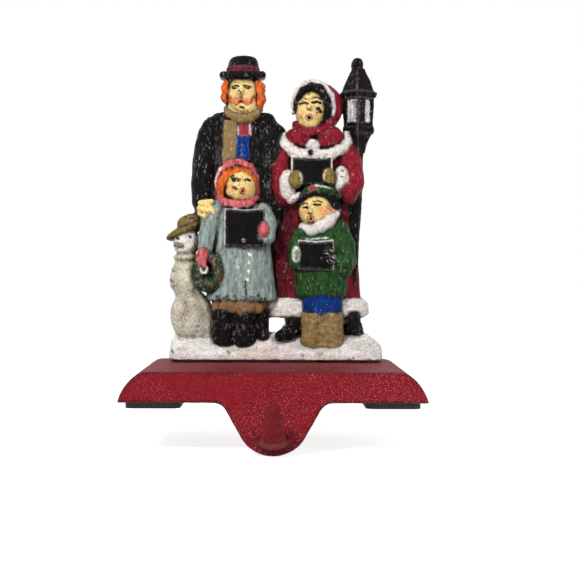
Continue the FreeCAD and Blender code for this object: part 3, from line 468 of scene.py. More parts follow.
@dataclass(frozen=True)
class Hoop(Form):
    """An oval ring that faces the front, such as a wreath."""

    at: Point
    radii: tuple[float, float]
    tube: float

    def distance(self, x: Array, h: Array, d: Array) -> Array:
        """Distance to the ring."""
        around = oval((x - self.at[0], h - self.at[1]), self.radii)
        return np.sqrt(around ** 2 + (d - self.at[2]) ** 2) - self.tube

    def reach(self) -> Extent:
        """The ring's extent seen from the front."""
        wide, tall = self.radii[0] + self.tube, self.radii[1] + self.tube
        return self.at[0] - wide, self.at[0] + wide, self.at[1] - tall, self.at[1] + tall


@dataclass(frozen=True)
class Lantern(Form):
    """A four sided form about an upright axis, each level (height, half diagonal)."""

    at: tuple[float, float]
    levels: tuple[tuple[float, float], ...]
    turn: float = -7.6
    edge: float = 0.4

    def distance(self, x: Array, h: Array, d: Array) -> Array:
        """Distance to the four sides and the two ends."""
        u, v = turned(x - self.at[0], d - self.at[1], 45.0 - self.turn)
        half = np.interp(h, [level[0] for level in self.levels], [level[1] for level in self.levels])
        side = np.maximum(abs(u), abs(v)) - half * math.sqrt(0.5) + self.edge
        end = np.maximum(self.levels[0][0] - h, h - self.levels[-1][0]) + self.edge
        return rounded((side, end), self.edge)

    def reach(self) -> Extent:
        """The form's extent seen from the front."""
        far = max(half for _, half in self.levels)
        return self.at[0] - far, self.at[0] + far, self.levels[0][0], self.levels[-1][0]


@dataclass(frozen=True, kw_only=True)
class Drift(Form):
    """The snow underfoot: a slab with soft corners, sloping ends and a slope to its front lip."""

    across: float
    length: float
    depth: float
    top: float
    lip: float
    slope: float
    corner: float = 7.0
    right_slope: float = 11.0
    left_slope: float = 4.5
    edge: float = 1.2

    def distance(self, x: Array, h: Array, d: Array) -> Array:
        """Distance to the snow."""
        u = abs(x - self.across) - self.length / 2 + self.corner
        w = np.maximum(d - self.depth + self.corner, 0)
        side = np.sqrt(np.maximum(u, 0) ** 2 + w ** 2) + np.minimum(np.maximum(u, w - self.corner), 0)
        side = side - self.corner
        forward = np.clip((d - self.depth + self.slope) / self.slope, 0, 1)
        right = np.clip((x - self.across - self.length / 2 + self.right_slope) / self.right_slope, 0, 1)
        left = np.clip((self.across - self.length / 2 + self.left_slope - x) / self.left_slope, 0, 1)
        fall = 1.15 * forward - 0.15 * forward ** 2 + 0.75 * right ** 2 + 0.5 * left ** 2
        level = self.top - (self.top - self.lip) * np.minimum(fall, 1.2)
        level = level + 0.5 * np.sin(x * 0.31 + 0.6) * np.sin(d * 0.4 + x * 0.13)
        above = (h - level) * 0.8 + self.edge
        return np.maximum(rounded((side + self.edge, above), self.edge), -h)

    def reach(self) -> Extent:
        """The snow's extent seen from the front."""
        return self.across - self.length / 2, self.across + self.length / 2, 0.0, self.top + 1.0


@dataclass(frozen=True, kw_only=True)
class Plinth(Form):
    """The base's block with quarter round ends, and the tongue below its front wall."""

    half: float
    top_half: float
    low: float
    high: float
    end_radius: float
    front: float
    back: float
    edge: float = 0.9

    def outline(self, x: Array, h: Array) -> Array:
        """Distance to the block's outline, seen from the front."""
        run = (self.top_half - self.half, self.high - self.low)
        length = math.hypot(*run)
        bow = math.sqrt(self.end_radius ** 2 - length ** 2 / 4)
        centre = ((self.half + self.top_half) / 2 - run[1] / length * bow,
                  (self.low + self.high) / 2 + run[0] / length * bow)
        end = np.hypot(np.maximum(abs(x) - centre[0], 0), h - centre[1]) - self.end_radius
        return np.maximum(end, self.low - h)

    def distance(self, x: Array, h: Array, d: Array) -> Array:
        """Distance to the block."""
        sides = [side + self.edge for side in np.broadcast_arrays(
            self.outline(x, h), h - self.high, np.maximum(d - self.front, self.back - d))]
        return rounded(sides, self.edge)

    def reach(self) -> Extent:
        """The block's extent seen from the front."""
        return -self.half, self.half, self.low, self.high


@dataclass(frozen=True, kw_only=True)
class Apron(Plinth):
    """The front slab: the block's outline and the tongue's, joined with a soft root."""

    root_half: float
    tip_radius: float
    drop: float
    root_blend: float = 3.6

    def outline(self, x: Array, h: Array) -> Array:
        """Distance to the tongue's and the block's outline as one."""
        centre = self.low - self.drop + self.tip_radius
        away = (self.root_half, self.low - centre)
        touch = math.atan2(away[1], away[0]) - math.acos(self.tip_radius / math.hypot(*away))
        across, up = abs(x) + 0 * h, h - centre + 0 * x
        flank = across * math.cos(touch) + up * math.sin(touch)
        tongue = np.where(np.arctan2(up, across) < touch, np.hypot(across, up), flank) - self.tip_radius
        tongue = np.maximum(tongue, h - self.high)
        return melt(super().outline(x, h), tongue, self.root_blend)

    def reach(self) -> Extent:
        """The slab's extent seen from the front."""
        return -self.half, self.half, self.low - self.drop, self.high


@dataclass(frozen=True, kw_only=True)
class Horn(Form):
    """The hook: flattened rounds along a bend, each (height, out, half width, half thickness)."""

    rings: tuple[Extent, ...]

    def distance(self, x: Array, h: Array, d: Array) -> Array:
        """Distance to the nearest stretch of the hook."""
        nearest = None
        for start, end in zip(self.rings, self.rings[1:]):
            run = (end[0] - start[0], end[1] - start[1])
            length = run[0] ** 2 + run[1] ** 2
            share = np.clip(((h - start[0]) * run[0] + (d - start[1]) * run[1]) / length, 0, 1)
            away = np.hypot(h - start[0] - run[0] * share, d - start[1] - run[1] * share)
            radii = [start[place] + (end[place] - start[place]) * share for place in (2, 3)]
            stretch = oval((x, away), radii)
            nearest = stretch if nearest is None else np.minimum(nearest, stretch)
        return nearest

    def reach(self) -> Extent:
        """The hook's extent seen from the front."""
        wide = max(ring[2] for ring in self.rings)
        levels = [ring[0] for ring in self.rings]
        return -wide, wide, min(levels) - 4.0, max(levels) + 4.0


@dataclass(frozen=True, kw_only=True)
class Recess(Form):
    """The hollow under the base, open below, with round corners."""

    half: float
    front: float
    back: float
    ceiling: float
    corner: float = 5.0

    def distance(self, x: Array, h: Array, d: Array) -> Array:
        """Distance to the hollow."""
        middle, deep = (self.front + self.back) / 2, (self.front - self.back) / 2
        across, out = abs(x) - self.half + self.corner, abs(d - middle) - deep + self.corner
        plan = np.hypot(np.maximum(across, 0), np.maximum(out, 0)) + np.minimum(np.maximum(across, out), 0)
        return np.maximum(plan - self.corner, h - self.ceiling)

    def reach(self) -> Extent:
        """The hollow's extent seen from the front."""
        return -self.half, self.half, -6.0, self.ceiling


def melt(a: Array, b: Array, width: float) -> Array:
    """Joins two distance fields with a rounded hollow where they meet."""
    near = np.maximum(width - abs(a - b), 0) / width
    return np.minimum(a, b) - near * near * width * 0.25


def cut(a: Array, b: Array, width: float) -> Array:
    """Keeps what is inside both distance fields, with a rounded edge."""
    return -melt(-a, -b, width)


def open_grid(axes: Sequence[Array]) -> list[Array]:
    """Lays three axes at right angles, so that together they give every place of a block."""
    return [axis.reshape([-1 if i == j else 1 for j in range(3)]) for i, axis in enumerate(axes)]


class Clay:
    """A block of cells that holds a distance field, in mm, and gives its skin as a mesh."""

    def __init__(self, low: Sequence[float], high: Sequence[float], cell: float) -> None:
        """Fills the block with air.

        Args:
            low: lowest corner.
            high: highest corner.
            cell: size of one cell.
        """
        self.cell = cell
        self.axes = [np.arange(a, b, cell, dtype=np.float32) for a, b in zip(low, high)]
        self.field = np.full([len(axis) for axis in self.axes], AIR, dtype=np.float32)
        self.relief = Relief(self.axes)

    def window(self, form: Form) -> tuple[tuple[slice, ...], list[Array]]:
        """The cells near a form, and their places.

        Args:
            form: the form to be laid in.

        Returns:
            The window's slices, and open grids of places across, up and out.
        """
        x0, x1, h0, h1 = form.reach()
        spare = 2.5 + form.blend
        spans = [(x0 - spare, x1 + spare), (h0 - spare, h1 + spare), (-FAR, FAR)]
        cells = tuple(slice(int(np.searchsorted(axis, a)), int(np.searchsorted(axis, b)))
                      for axis, (a, b) in zip(self.axes, spans))
        return cells, open_grid([axis[part] for axis, part in zip(self.axes, cells)])

    def add(self, form: Form) -> None:
        """Melts a form into the block."""
        cells, places = self.window(form)
        gap = form.distance(*places) - self.relief.field(form.relief())[cells]
        self.field[cells] = melt(self.field[cells], gap, form.blend)

    def carve(self, form: Form) -> None:
        """Cuts a form out of the block."""
        cells, places = self.window(form)
        self.field[cells] = cut(self.field[cells], -form.distance(*places), form.blend)

    def trim(self, distance: Array, edge: float) -> None:
        """Keeps only what is inside another distance field."""
        self.field = cut(self.field, distance.astype(np.float32), edge).astype(np.float32)

    def skin(self) -> tuple[Array, Array]:
        """The surface between clay and air: points in mm, and four sided faces."""
        grid = openvdb.FloatGrid(AIR)
        grid.copyFromArray(np.ascontiguousarray(self.field))
        points, _, faces = grid.convertToPolygons(0.0, 0.0)
        corner = np.array([axis[0] for axis in self.axes])
        return points * self.cell + corner, np.asarray(faces)


@dataclass(frozen=True)
class Mark:
    """A stroke or spot of paint: a line of (across, height) places with a half width."""

    paint: Paint
    line: tuple[tuple[float, float], ...]
    half: float
    on: tuple[Paint, ...] = ()
    strength: float = 1.0
    edge: float = 0.25

    def cover(self, x: Array, h: Array) -> Array:
        """How far the mark covers each place, from 0 to 1."""
        nearest = np.full(x.shape, FAR)
        line = self.line if len(self.line) > 1 else self.line * 2
        for start, end in zip(line, line[1:]):
            run = (end[0] - start[0], end[1] - start[1])
            length = run[0] ** 2 + run[1] ** 2 or 1.0
            share = np.clip(((x - start[0]) * run[0] + (h - start[1]) * run[1]) / length, 0, 1)
            gap = np.hypot(x - start[0] - run[0] * share, h - start[1] - run[1] * share)
            nearest = np.minimum(nearest, gap)
        return self.strength * np.clip((self.half - nearest) / self.edge + 0.5, 0, 1)


def tubes(paint: Paint, *lines: tuple[Extent, ...], **shared) -> Forms:
    """Tubes that share their looks, one for each line of points."""
    return tuple(Tube(paint, line, **shared) for line in lines)


def pods(paint: Paint, *lumps: tuple, **shared) -> Forms:
    """Pods that share their looks, each given by its place, size and perhaps tilt."""
    return tuple(Pod(paint, *lump, **shared) for lump in lumps)


def dabs(paint: Paint, half: float, on: tuple[Paint, ...], *lines: tuple, **shared) -> list[Mark]:
    """Marks that share their looks, one for each line of places."""
    return [Mark(paint, line, half, on, **shared) for line in lines]


def mouth(at: Point, half: float, paint: Paint = Paint.MOUTH) -> Tube:
    """The hollow of an open mouth, from its floor outwards."""
    x, h, d = at
    return Tube(paint, ((x, h, d, half), (x, h, d + 2.2, half)), deep=False, blend=0.3)


def flecks(paint: Paint, on: tuple[Paint, ...], area: Extent, count: int, size: float,
           seed: int) -> list[Mark]:
    """Small chips scattered over an area.

    Args:
        paint: what shows in the chips.
        on: the paints that are chipped.
        area: least and greatest place across, then least and greatest height.
        count: how many.
        size: half the width of a usual chip.
        seed: start of the random numbers.

    Returns:
        The chips.
    """
    random = np.random.default_rng(seed)
    found = []
    for _ in range(count):
        x, h = random.uniform(area[0], area[1]), random.uniform(area[2], area[3])
        turn, length = random.uniform(0, math.pi), random.exponential(0.5)
        end = (x + length * math.cos(turn), h + length * math.sin(turn))
        found.append(Mark(paint, ((x, h), end), size * random.uniform(0.6, 1.6), on,
                          strength=random.uniform(0.4, 0.8), edge=0.45))
    return found


@dataclass(frozen=True, kw_only=True)
class Carving:
    """A part of the group whose fields are its forms, hollows and marks."""

    title = "part"

    def forms(self) -> list[Form]:
        """The lumps of this part, in the order that they are laid."""
        found = []
        for entry in fields(self):
            value = getattr(self, entry.name)
            found += [value] if isinstance(value, Form) else []
            found += [v for v in value if isinstance(v, Form)] if isinstance(value, tuple) else []
        return found

    def hollows(self) -> list[Form]:
        """What is cut out of this part."""
        return []

    def marks(self) -> list[Mark]:
        """Strokes of paint on this part."""
        return []


@dataclass(frozen=True, kw_only=True)
class Singer(Carving):
    """The man in the top hat at the back of the group."""

    title = "man"
    boots: Forms = tuple(
        Column(Paint.BOOT, ((8, x, 3.4), (12, x, 3.3), (25, x, 3.4)), front=15.5, bulge=4,
               grain=Grain.PLAIN)
        for x in (-5.6, -13.5))
    coat: Form = Column(
        Paint.COAT_BLACK,
        ((22, -15, 14.8), (45, -15.3, 15.6), (70, -16, 17.6), (90, -16.8, 20.5), (105, -16.6, 21.6),
         (113, -16.2, 21.2), (117.5, -16, 21), (120.4, -15.9, 19.6), (122.6, -15.7, 16.4),
         (124.2, -15.5, 10)), front=12.6, bulge=7.5, folds=3.5, fold_depth=0.9)
    left_arm: Form = Tube(
        Paint.COAT_BLACK,
        ((-31, 116.8, 7, 5.4), (-33.4, 112, 7.4, 5.7), (-35.2, 100, 7.8, 5.9), (-36.2, 88, 8, 5.9),
         (-35.8, 79, 8.5, 5.6), (-34.6, 73, 11, 4.8)), blend=2.5)
    right_arm: Form = Tube(
        Paint.COAT_BLACK, ((0.6, 113, 6, 5.6), (1.6, 102, 6.4, 5.8), (1, 84, 6.4, 5.6), (0, 70, 6, 5.2)),
        blend=2.5)
    lapels: Forms = tubes(
        Paint.COAT_BLACK, ((-25.6, 120, 9.2, 1.2), (-26.6, 108, 11.6, 1.3), (-26.4, 98, 11.8, 1)),
        ((-9.8, 120, 10.2, 1.6), (-9.2, 108, 12, 1.9), (-10.4, 98, 12, 1.5), (-12.6, 92, 11.8, 1)),
        blend=1.6)
    vest: Form = Block(Paint.VEST_BLUE, (-15.8, 105.6), (3.6, 6.6), back=2, front=13.4, edge=0.7,
                       blend=0.4)
    vest_buttons: Forms = tuple(
        Pod(Paint.VEST_BLUE, (-15.6, h, 13), (1.1, 1.1, 0.9), blend=0.4)
        for h in (109.4, 105.2, 101.2))
    shirt: Form = Block(Paint.SHIRT, (-15.7, 115.4), (3.9, 3.6), back=2, front=13, edge=0.8, blend=0.4)
    tie: Form = Block(Paint.TIE, (-15.3, 114.8), (2, 3.3), back=2, front=13.9, edge=0.7, blend=0.3)
    scarf: Forms = (
        Tube(Paint.KHAKI,
             ((-24, 126, 8.4, 1.7), (-22.6, 123, 11.2, 2), (-19.4, 120.9, 13.2, 2.3),
              (-16.2, 120.2, 13.8, 2.4), (-12.6, 120.9, 13.2, 2.3), (-9.2, 123.2, 11.2, 2),
              (-7.6, 126.2, 8.4, 1.7)), blend=0.6),)
    scarf_tail: Form = Block(Paint.KHAKI, (-22.3, 108.4), (3.2, 11.4), back=2, front=13.8, tilt=-2.5,
                             edge=0.9, blend=0.5)
    head: Form = Pod(Paint.SKIN, (-16, 132.6, 8.3), (7.7, 11.2, 6.8), blend=0.6)
    chin: Form = Pod(Paint.SKIN, (-16, 127, 10.6), (7, 5.2, 4.2), blend=1)
    cheeks: Forms = pods(Paint.SKIN, ((-20.2, 131.8, 12.4), (2.7, 2.4, 2.4)),
                         ((-12.6, 132, 12.4), (2.7, 2.4, 2.4)), blend=1)
    nose: Form = Tube(Paint.SKIN, ((-16.6, 136.6, 14, 0.8), (-16.8, 133.2, 15.8, 1.25)), blend=0.9)
    brows: Forms = tubes(
        Paint.SKIN, ((-21.6, 136.6, 11.8, 0.6), (-19.4, 137.6, 13.6, 0.7), (-17.6, 136.9, 14.4, 0.6)),
        ((-15.6, 136.9, 14.4, 0.6), (-13.6, 137.6, 13.6, 0.7), (-11.4, 136.4, 11.8, 0.6)), blend=0.6)
    moustache: Forms = tubes(
        Paint.SKIN, ((-17.3, 129.8, 15.4, 0.8), (-19.4, 128.2, 14.8, 1), (-21.8, 129.8, 13, 0.6)),
        ((-16.2, 129.8, 15.4, 0.8), (-13.8, 128.2, 14.8, 1), (-10.8, 130, 13, 0.6)),
        grain=Grain.HAIR, blend=0.35)
    hair: Forms = (
        *tubes(Paint.ORANGE_HAIR,
               ((-24, 138.8, 10.2, 1.7), (-24.9, 136.4, 10.6, 1.9), (-24.4, 134, 10.6, 1.7),
                (-25.2, 131.6, 10, 1.8), (-24, 129.8, 9.4, 1.3)),
               ((-8.6, 138.8, 10.4, 1.9), (-7.3, 136.6, 10.6, 2.5), (-7.6, 134, 10.8, 2.2),
                (-6.9, 131.2, 10.4, 2.4), (-7.7, 128.2, 10.2, 2.1), (-8.6, 125.8, 9.6, 1.5)), blend=0.6),
        Pod(Paint.ORANGE_HAIR, (-16, 134, 5), (8.6, 8, 5)))
    brim: Forms = (
        Tube(Paint.COAT_BLACK,
             ((-26, 142.9, 9, 1.8), (-21.4, 142.4, 12.6, 1.9), (-16.2, 142.1, 14, 2),
              (-11, 142.4, 12.6, 1.9), (-6.2, 143.2, 9, 1.8)), grain=Grain.PLAIN, blend=0.8),
        Pod(Paint.COAT_BLACK, (-16.2, 142.4, 7.5), (10.6, 1.9, 8.2), grain=Grain.PLAIN, blend=0.8))
    crown: Form = Column(
        Paint.COAT_BLACK, ((142, -16, 8.2), (147, -16, 8), (150, -15.8, 7.4), (152.2, -15.6, 6)),
        front=14, bulge=8, grain=Grain.PLAIN, blend=0.6)
    band: Form = Column(Paint.HAT_BAND, ((143.4, -16, 8.6), (147, -16, 8.35)), front=14.5,
                        bulge=8.2, ends=0.6, blend=0.3)
    hand: Forms = (
        Pod(Paint.SKIN, (-33.8, 74.6, 13.5), (4.7, 5.2, 4.2), blend=0.8),
        *tubes(Paint.SKIN, ((-36.8, 78, 15.2, 1.35), (-31.2, 78.6, 16.8, 1.25)),
               ((-37.2, 75.2, 15.6, 1.35), (-33.2, 74.2, 17.2, 1.3)),
               ((-37, 72.6, 15.6, 1.3), (-33.8, 71.2, 17, 1.25)),
               ((-33, 77.4, 16.4, 1.3), (-30.4, 73.2, 17.2, 1.2)), blend=0.4))

    def hollows(self) -> list[Form]:
        """The slit between the lips and the overlap of the coat."""
        return [
            mouth((-16.8, 128.3, 15.5), 0.75, Paint.SKIN),
            Tube(Paint.COAT_BLACK,
                 ((-12.6, 93.5, 12.6, 0.4), (-10.2, 60, 12.2, 0.5), (-9.6, 28, 12.4, 0.5)), deep=False,
                 blend=0.4)]

    def marks(self) -> list[Mark]:
        """Face, tie and hand strokes."""
        skin = (Paint.SKIN,)
        dark = Paint.BLACK_HAIR
        orange = Paint.ORANGE_HAIR
        return [
            *dabs(orange, 0.4, skin, ((-22, 137.9), (-19.6, 138.6), (-17.6, 138.2)),
                  ((-15.6, 138.2), (-13.4, 138.6), (-11.2, 137.9)), strength=0.3),
            *dabs(dark, 0.5, skin, ((-21.8, 136.4), (-19.8, 136.8), (-18, 136.4)),
                  ((-15.4, 136.4), (-13.6, 136.7), (-11.8, 136.2))),
            Mark(dark, ((-20.8, 135.6), (-19.2, 135.5)), 0.55, skin),
            Mark(dark, ((-14.8, 135.5), (-13, 135.5)), 0.5, skin),
            Mark(dark, ((-17.8, 134.2), (-17, 133), (-16, 133.2)), 0.38, skin),
            *dabs(orange, 0.8, skin,
                  ((-22.4, 131.4), (-21.6, 129.2), (-19.6, 127.9), (-17.8, 128.6), (-16.9, 130.4)),
                  ((-16.7, 130.4), (-15.8, 128.6), (-13.8, 127.9), (-11.6, 129), (-10.4, 131.4)),
                  edge=0.4),
            *dabs(orange, 0.5, skin, ((-20.6, 129.6), (-18.8, 129.4)), ((-14.4, 129.4), (-12.4, 129.8)),
                  strength=0.55, edge=0.6),
            Mark(Paint.OLIVE, ((-22.4, 128.4), (-21, 126.2), (-18.6, 124.8)), 0.7, skin, strength=0.75,
                 edge=0.8),
            Mark(Paint.CHIN, ((-18.6, 124.6), (-15.8, 123.8), (-13.4, 124.8)), 0.4, skin, strength=0.7,
                 edge=0.6),
            *dabs(Paint.CHEEK, 1.8, skin, ((-20.2, 132.2),), ((-13.2, 132.2),), strength=0.35, edge=2.2),
            Mark(Paint.TIE, ((-16.9, 128.9), (-16.7, 128.7)), 0.8, edge=0.3),
            Mark(dark, ((-16.9, 126), (-15.4, 125.8)), 0.62, edge=0.35),
            Mark(Paint.TAN,
                 ((-22.4, 126.6), (-20, 124.2), (-16.6, 122.8), (-12.8, 124), (-10.4, 126.4)), 0.5,
                 (Paint.CHIN,), strength=0.6, edge=0.8),
            Mark(Paint.SHIRT, ((-18.6, 117.6), (-18.2, 112.6)), 0.6, (Paint.TIE,)),
            *dabs(dark, 0.35, skin, ((-36.4, 73.2), (-35.8, 72.6)), ((-33.8, 71.6), (-33.6, 70.8))),
            *dabs(Paint.CHIN, 0.25, skin, ((-37.2, 76.8), (-33, 76.2)), ((-36.8, 74), (-33.4, 72.8)),
                  strength=0.8)]


@dataclass(frozen=True, kw_only=True)
class Lady(Carving):
    """The woman in the fur trimmed red cape and hood."""

    title = "woman"
    skirt: Form = Column(
        Paint.DRESS,
        ((27, 20.5, 24.4), (45, 20.3, 23), (60, 20.2, 21.4), (84, 20, 18), (100, 20.5, 17),
         (110, 21, 14), (117, 21, 8)), front=12, bulge=8, folds=5, fold_depth=1.3)
    hem: Form = Column(
        Paint.FUR, ((20.5, 20, 27), (22.5, 20.3, 28.2), (27, 20.3, 28), (30.4, 20, 26.2)), front=13.6,
        bulge=8.5, ends=2.4, blend=0.6)
    sleeves: Forms = tubes(
        Paint.DRESS,
        ((35.4, 107, 7, 5.2), (38.6, 98, 8, 6), (39.6, 89, 9.5, 5.9), (37, 83, 11.5, 5),
         (34.5, 86, 13, 4.3)),
        ((6.4, 107, 7, 5), (3.6, 96, 8, 5.6), (3.6, 88, 9, 5.4), (5.5, 81, 10.5, 4.6)), blend=1.2)
    cuffs: Forms = (
        *pods(Paint.FUR, ((6.8, 87, 12.4), (4.4, 8, 5.4)), ((33.4, 89.4, 12.4), (4.3, 7.6, 5.4), -6),
              blend=0.6),
        Tube(Paint.FUR, ((8.3, 80.6, 13.5, 2.6), (12.6, 82, 14.6, 1.8)), blend=0.8))
    book: Form = Block(Paint.BOOK, (18.8, 94), (9.3, 6.6), back=8, front=17.8, spine=1.6, dip=0.7,
                       edge=0.4, blend=0.3)
    pages: Form = Block(Paint.FUR, (18.9, 94.6), (10.4, 7.4), back=8, front=16.9, spine=1.6, dip=0.7,
                        edge=0.4, grain=Grain.PLAIN, blend=0.3)
    gloves: Forms = pods(Paint.GLOVE, ((11, 89.8, 17), (3.5, 4.7, 3), -6),
                         ((27.4, 91.2, 17), (3.3, 4.4, 3), 8), blend=0.5)
    cape: Forms = (
        *tubes(Paint.FUR,
               ((5.6, 112, 9, 2.2), (5.8, 108.4, 11, 2.6), (9.4, 104.4, 13.2, 2.7),
                (14, 102.6, 14.6, 2.6), (18, 102.6, 15.2, 2.6)),
               ((17.6, 102.6, 15.2, 2.6), (23, 102.4, 15, 2.6), (29, 103.2, 14, 2.7),
                (34.4, 106.2, 12, 2.7), (36.8, 110, 10, 2.5), (36.6, 113, 8.5, 1.9)), blend=0.9),
        Pod(Paint.FUR, (19.2, 106.6, 14.4), (3.6, 3.6, 2.4), blend=0.9))
    collar: Forms = (
        *pods(Paint.DRESS, ((13.2, 110.6, 11), (7.6, 4.9, 5.2), -22),
              ((27.4, 110.2, 11), (7.8, 5.2, 5.2), 22)),
        Pod(Paint.DRESS, (21, 114.6, 9.5), (12.6, 4.2, 5), grain=Grain.PLAIN))
    ruff: Form = Tube(
        Paint.DRESS,
        ((10.6, 118.2, 10.5, 1.6), (14.4, 115, 13.2, 1.8), (19, 113.6, 14, 1.9),
         (25.2, 115.4, 13.2, 1.9), (29.4, 120.4, 11, 1.8)), grain=Grain.PLAIN, blend=0.7)
    head: Form = Pod(Paint.SKIN, (18.4, 126, 9.4), (7.6, 10.2, 6.8), tilt=-4, blend=0.6)
    jaw: Form = Pod(Paint.SKIN, (17.6, 119.4, 11.6), (4.8, 4, 3.6), blend=2.2)
    cheeks: Forms = pods(Paint.SKIN, ((14, 123.4, 13.4), (2.4, 2.4, 2.2)),
                         ((21.4, 123.2, 13.4), (2.4, 2.4, 2.2)), blend=1.2)
    nose: Form = Tube(Paint.SKIN, ((18, 129.4, 14.9, 0.7), (17.2, 126.2, 16.7, 1.15)), blend=0.9)
    brows: Forms = tubes(
        Paint.SKIN, ((12.8, 128.8, 13.2, 0.5), (14.6, 130.2, 14.8, 0.6), (16.6, 129.6, 15.6, 0.5)),
        ((18.8, 129.9, 15.6, 0.5), (21.2, 130.6, 14.8, 0.6), (23.2, 129.4, 13.4, 0.5)), blend=0.6)
    lips: Form = Hoop(Paint.SKIN, (17.4, 120.8, 15.3), (1.15, 1.35), 0.6, blend=0.4)
    hair: Forms = (
        Pod(Paint.BLACK_HAIR, (19.6, 128.4, 8), (9.4, 9, 6.2)),
        *tubes(Paint.BLACK_HAIR,
               ((10.5, 125.6, 11.8, 0.9), (11.3, 129.8, 12.8, 1.3), (14.2, 134.5, 13.8, 1.7),
                (18.6, 136.8, 14.2, 1.6)),
               ((18, 136.7, 14.2, 1.6), (22.8, 135.6, 14.2, 1.9), (26.2, 130.2, 13.4, 1.9),
                (26.9, 124, 12.6, 1.6), (26.5, 119.4, 11.8, 1.1)), blend=0.5))
    hood: Form = Pod(Paint.DRESS, (23.4, 127.4, 6), (11.4, 12, 6.5))
    hood_fur: Form = Tube(
        Paint.FUR,
        ((9.6, 124.5, 10.6, 0.7), (9.4, 129.5, 11.4, 1), (11.4, 134.6, 12.2, 1.3),
         (15.4, 138, 12.8, 1.6), (20, 138.9, 12.8, 1.6), (25, 137.2, 12.6, 1.5),
         (28.6, 132.6, 12, 1.4), (29.6, 126.6, 11.2, 1.3), (28.4, 120, 10.4, 1.1)), blend=0.7)
    brooch: Form = Pod(Paint.COAT_BLACK, (18.1, 103.2, 17.2), (1.3, 1.3, 1.3), grain=Grain.PLAIN,
                       blend=0.3)
    shoe: Forms = (
        *tubes(Paint.BOOT, ((11.8, 15.6, 10, 3.6), (7.4, 13.2, 14.5, 3.5), (3.6, 11.8, 17, 2.7)),
               ((10, 21, 8, 4.4), (10.2, 15.6, 10, 4)), blend=0.6),
        Column(Paint.BOOT, ((12, 40.2, 5.8), (18, 39.6, 5), (24, 39.2, 4.8)), front=12.5, bulge=5,
               blend=0.6))

    def hollows(self) -> list[Form]:
        """The open mouth and the deep folds of the skirt."""
        folds = ((12, 74, 9.5, 33), (24.2, 78, 25.6, 33), (31, 76, 33.6, 33))
        return [
            mouth((17.4, 120.8, 15.3), 0.85),
            *(Tube(Paint.DRESS, ((x, top, 13.2, 0.5), (low_x, low, 13.6, 0.9)), deep=False, blend=0.7)
              for x, top, low_x, low in folds)]

    def marks(self) -> list[Mark]:
        """Face, book and fur strokes."""
        skin = (Paint.SKIN,)
        dark = Paint.BLACK_HAIR
        return [
            Mark(dark, ((12.8, 129.4), (14.4, 130.4), (16.2, 130)), 0.36, skin),
            Mark(dark, ((18.4, 130.2), (20.6, 131), (23.2, 130.2)), 0.4, skin),
            Mark(dark, ((13, 127.8), (14.6, 128.3), (16.6, 127.8)), 0.68, skin),
            Mark(dark, ((19, 128.2), (21, 128.8), (23.2, 128.2)), 0.7, skin),
            Mark(Paint.CHIN, ((17.4, 130.6), (17, 127.6), (16.4, 125.6)), 0.4, skin, strength=0.6),
            Mark(Paint.CHIN, ((13.4, 121.4), (14.6, 118.6), (17.6, 117)), 0.5, skin, strength=0.5,
                 edge=0.8),
            Mark(dark, ((17, 132.6), (17.2, 132.5)), 0.34, skin),
            Mark(dark, ((18.6, 131.6), (18.7, 131.7)), 0.3, skin),
            Mark(Paint.CHEEK, ((13.8, 123.6),), 1.8, skin, strength=0.35, edge=2.2),
            Mark(Paint.CHEEK, ((21.6, 122.8),), 2, skin, strength=0.35, edge=2.2),
            Mark(Paint.CHIP, ((21.4, 125.2), (22.6, 125.4), (23, 123.8)), 0.9, skin, edge=0.4),
            Mark(Paint.CHIP, ((21.2, 123.4), (21.4, 123.2)), 0.6, skin, edge=0.4),
            Mark(dark, ((16.6, 124.8), (18.2, 124.5)), 0.42, skin),
            Mark(Paint.MOUTH, ((17.4, 120.9),), 1.95, skin, strength=0.85, edge=0.4),
            Mark(Paint.CHEEK, ((17.4, 120.9),), 1.3, skin, strength=0.8, edge=0.4),
            Mark(Paint.CHIP, ((17.4, 120.8),), 0.75, edge=0.3),
            Mark(Paint.WINE, ((4, 30), (5.4, 50), (7, 76)), 5, (Paint.DRESS,), strength=0.75,
                 edge=6),
            Mark(Paint.WINE, ((35.4, 82), (33, 60)), 1.4, (Paint.DRESS,), strength=0.6, edge=2.5),
            Mark(Paint.CHIP, ((17.9, 102.6), (18, 103.6)), 1, edge=0.4),
            *dabs(Paint.PALE, 0.4, (Paint.GLOVE,), ((12.9, 93.2), (13.9, 90), (13.4, 86.6)),
                  ((25.6, 94.2), (24.6, 91), (25.2, 87.8)), strength=0.7),
            Mark(Paint.OLIVE, ((10, 91.6), (10.6, 87.6)), 0.5, (Paint.GLOVE,), strength=0.5),
            Mark(Paint.CHIP, ((33.4, 94.6), (34.6, 94)), 0.4, (Paint.FUR,), edge=0.4),
            Mark(Paint.CHIP, ((33.2, 91.4), (35, 91)), 0.35, (Paint.FUR,), edge=0.4),
            *flecks(Paint.CHIP, (Paint.FUR,), (6, 38, 78, 142), 60, 0.28, seed=17),
            *flecks(Paint.CHIP, skin, (11, 26, 116, 136), 12, 0.2, seed=18),
            *flecks(Paint.CHIP, (Paint.GLOVE,), (7, 32, 85, 96), 16, 0.3, seed=19)]


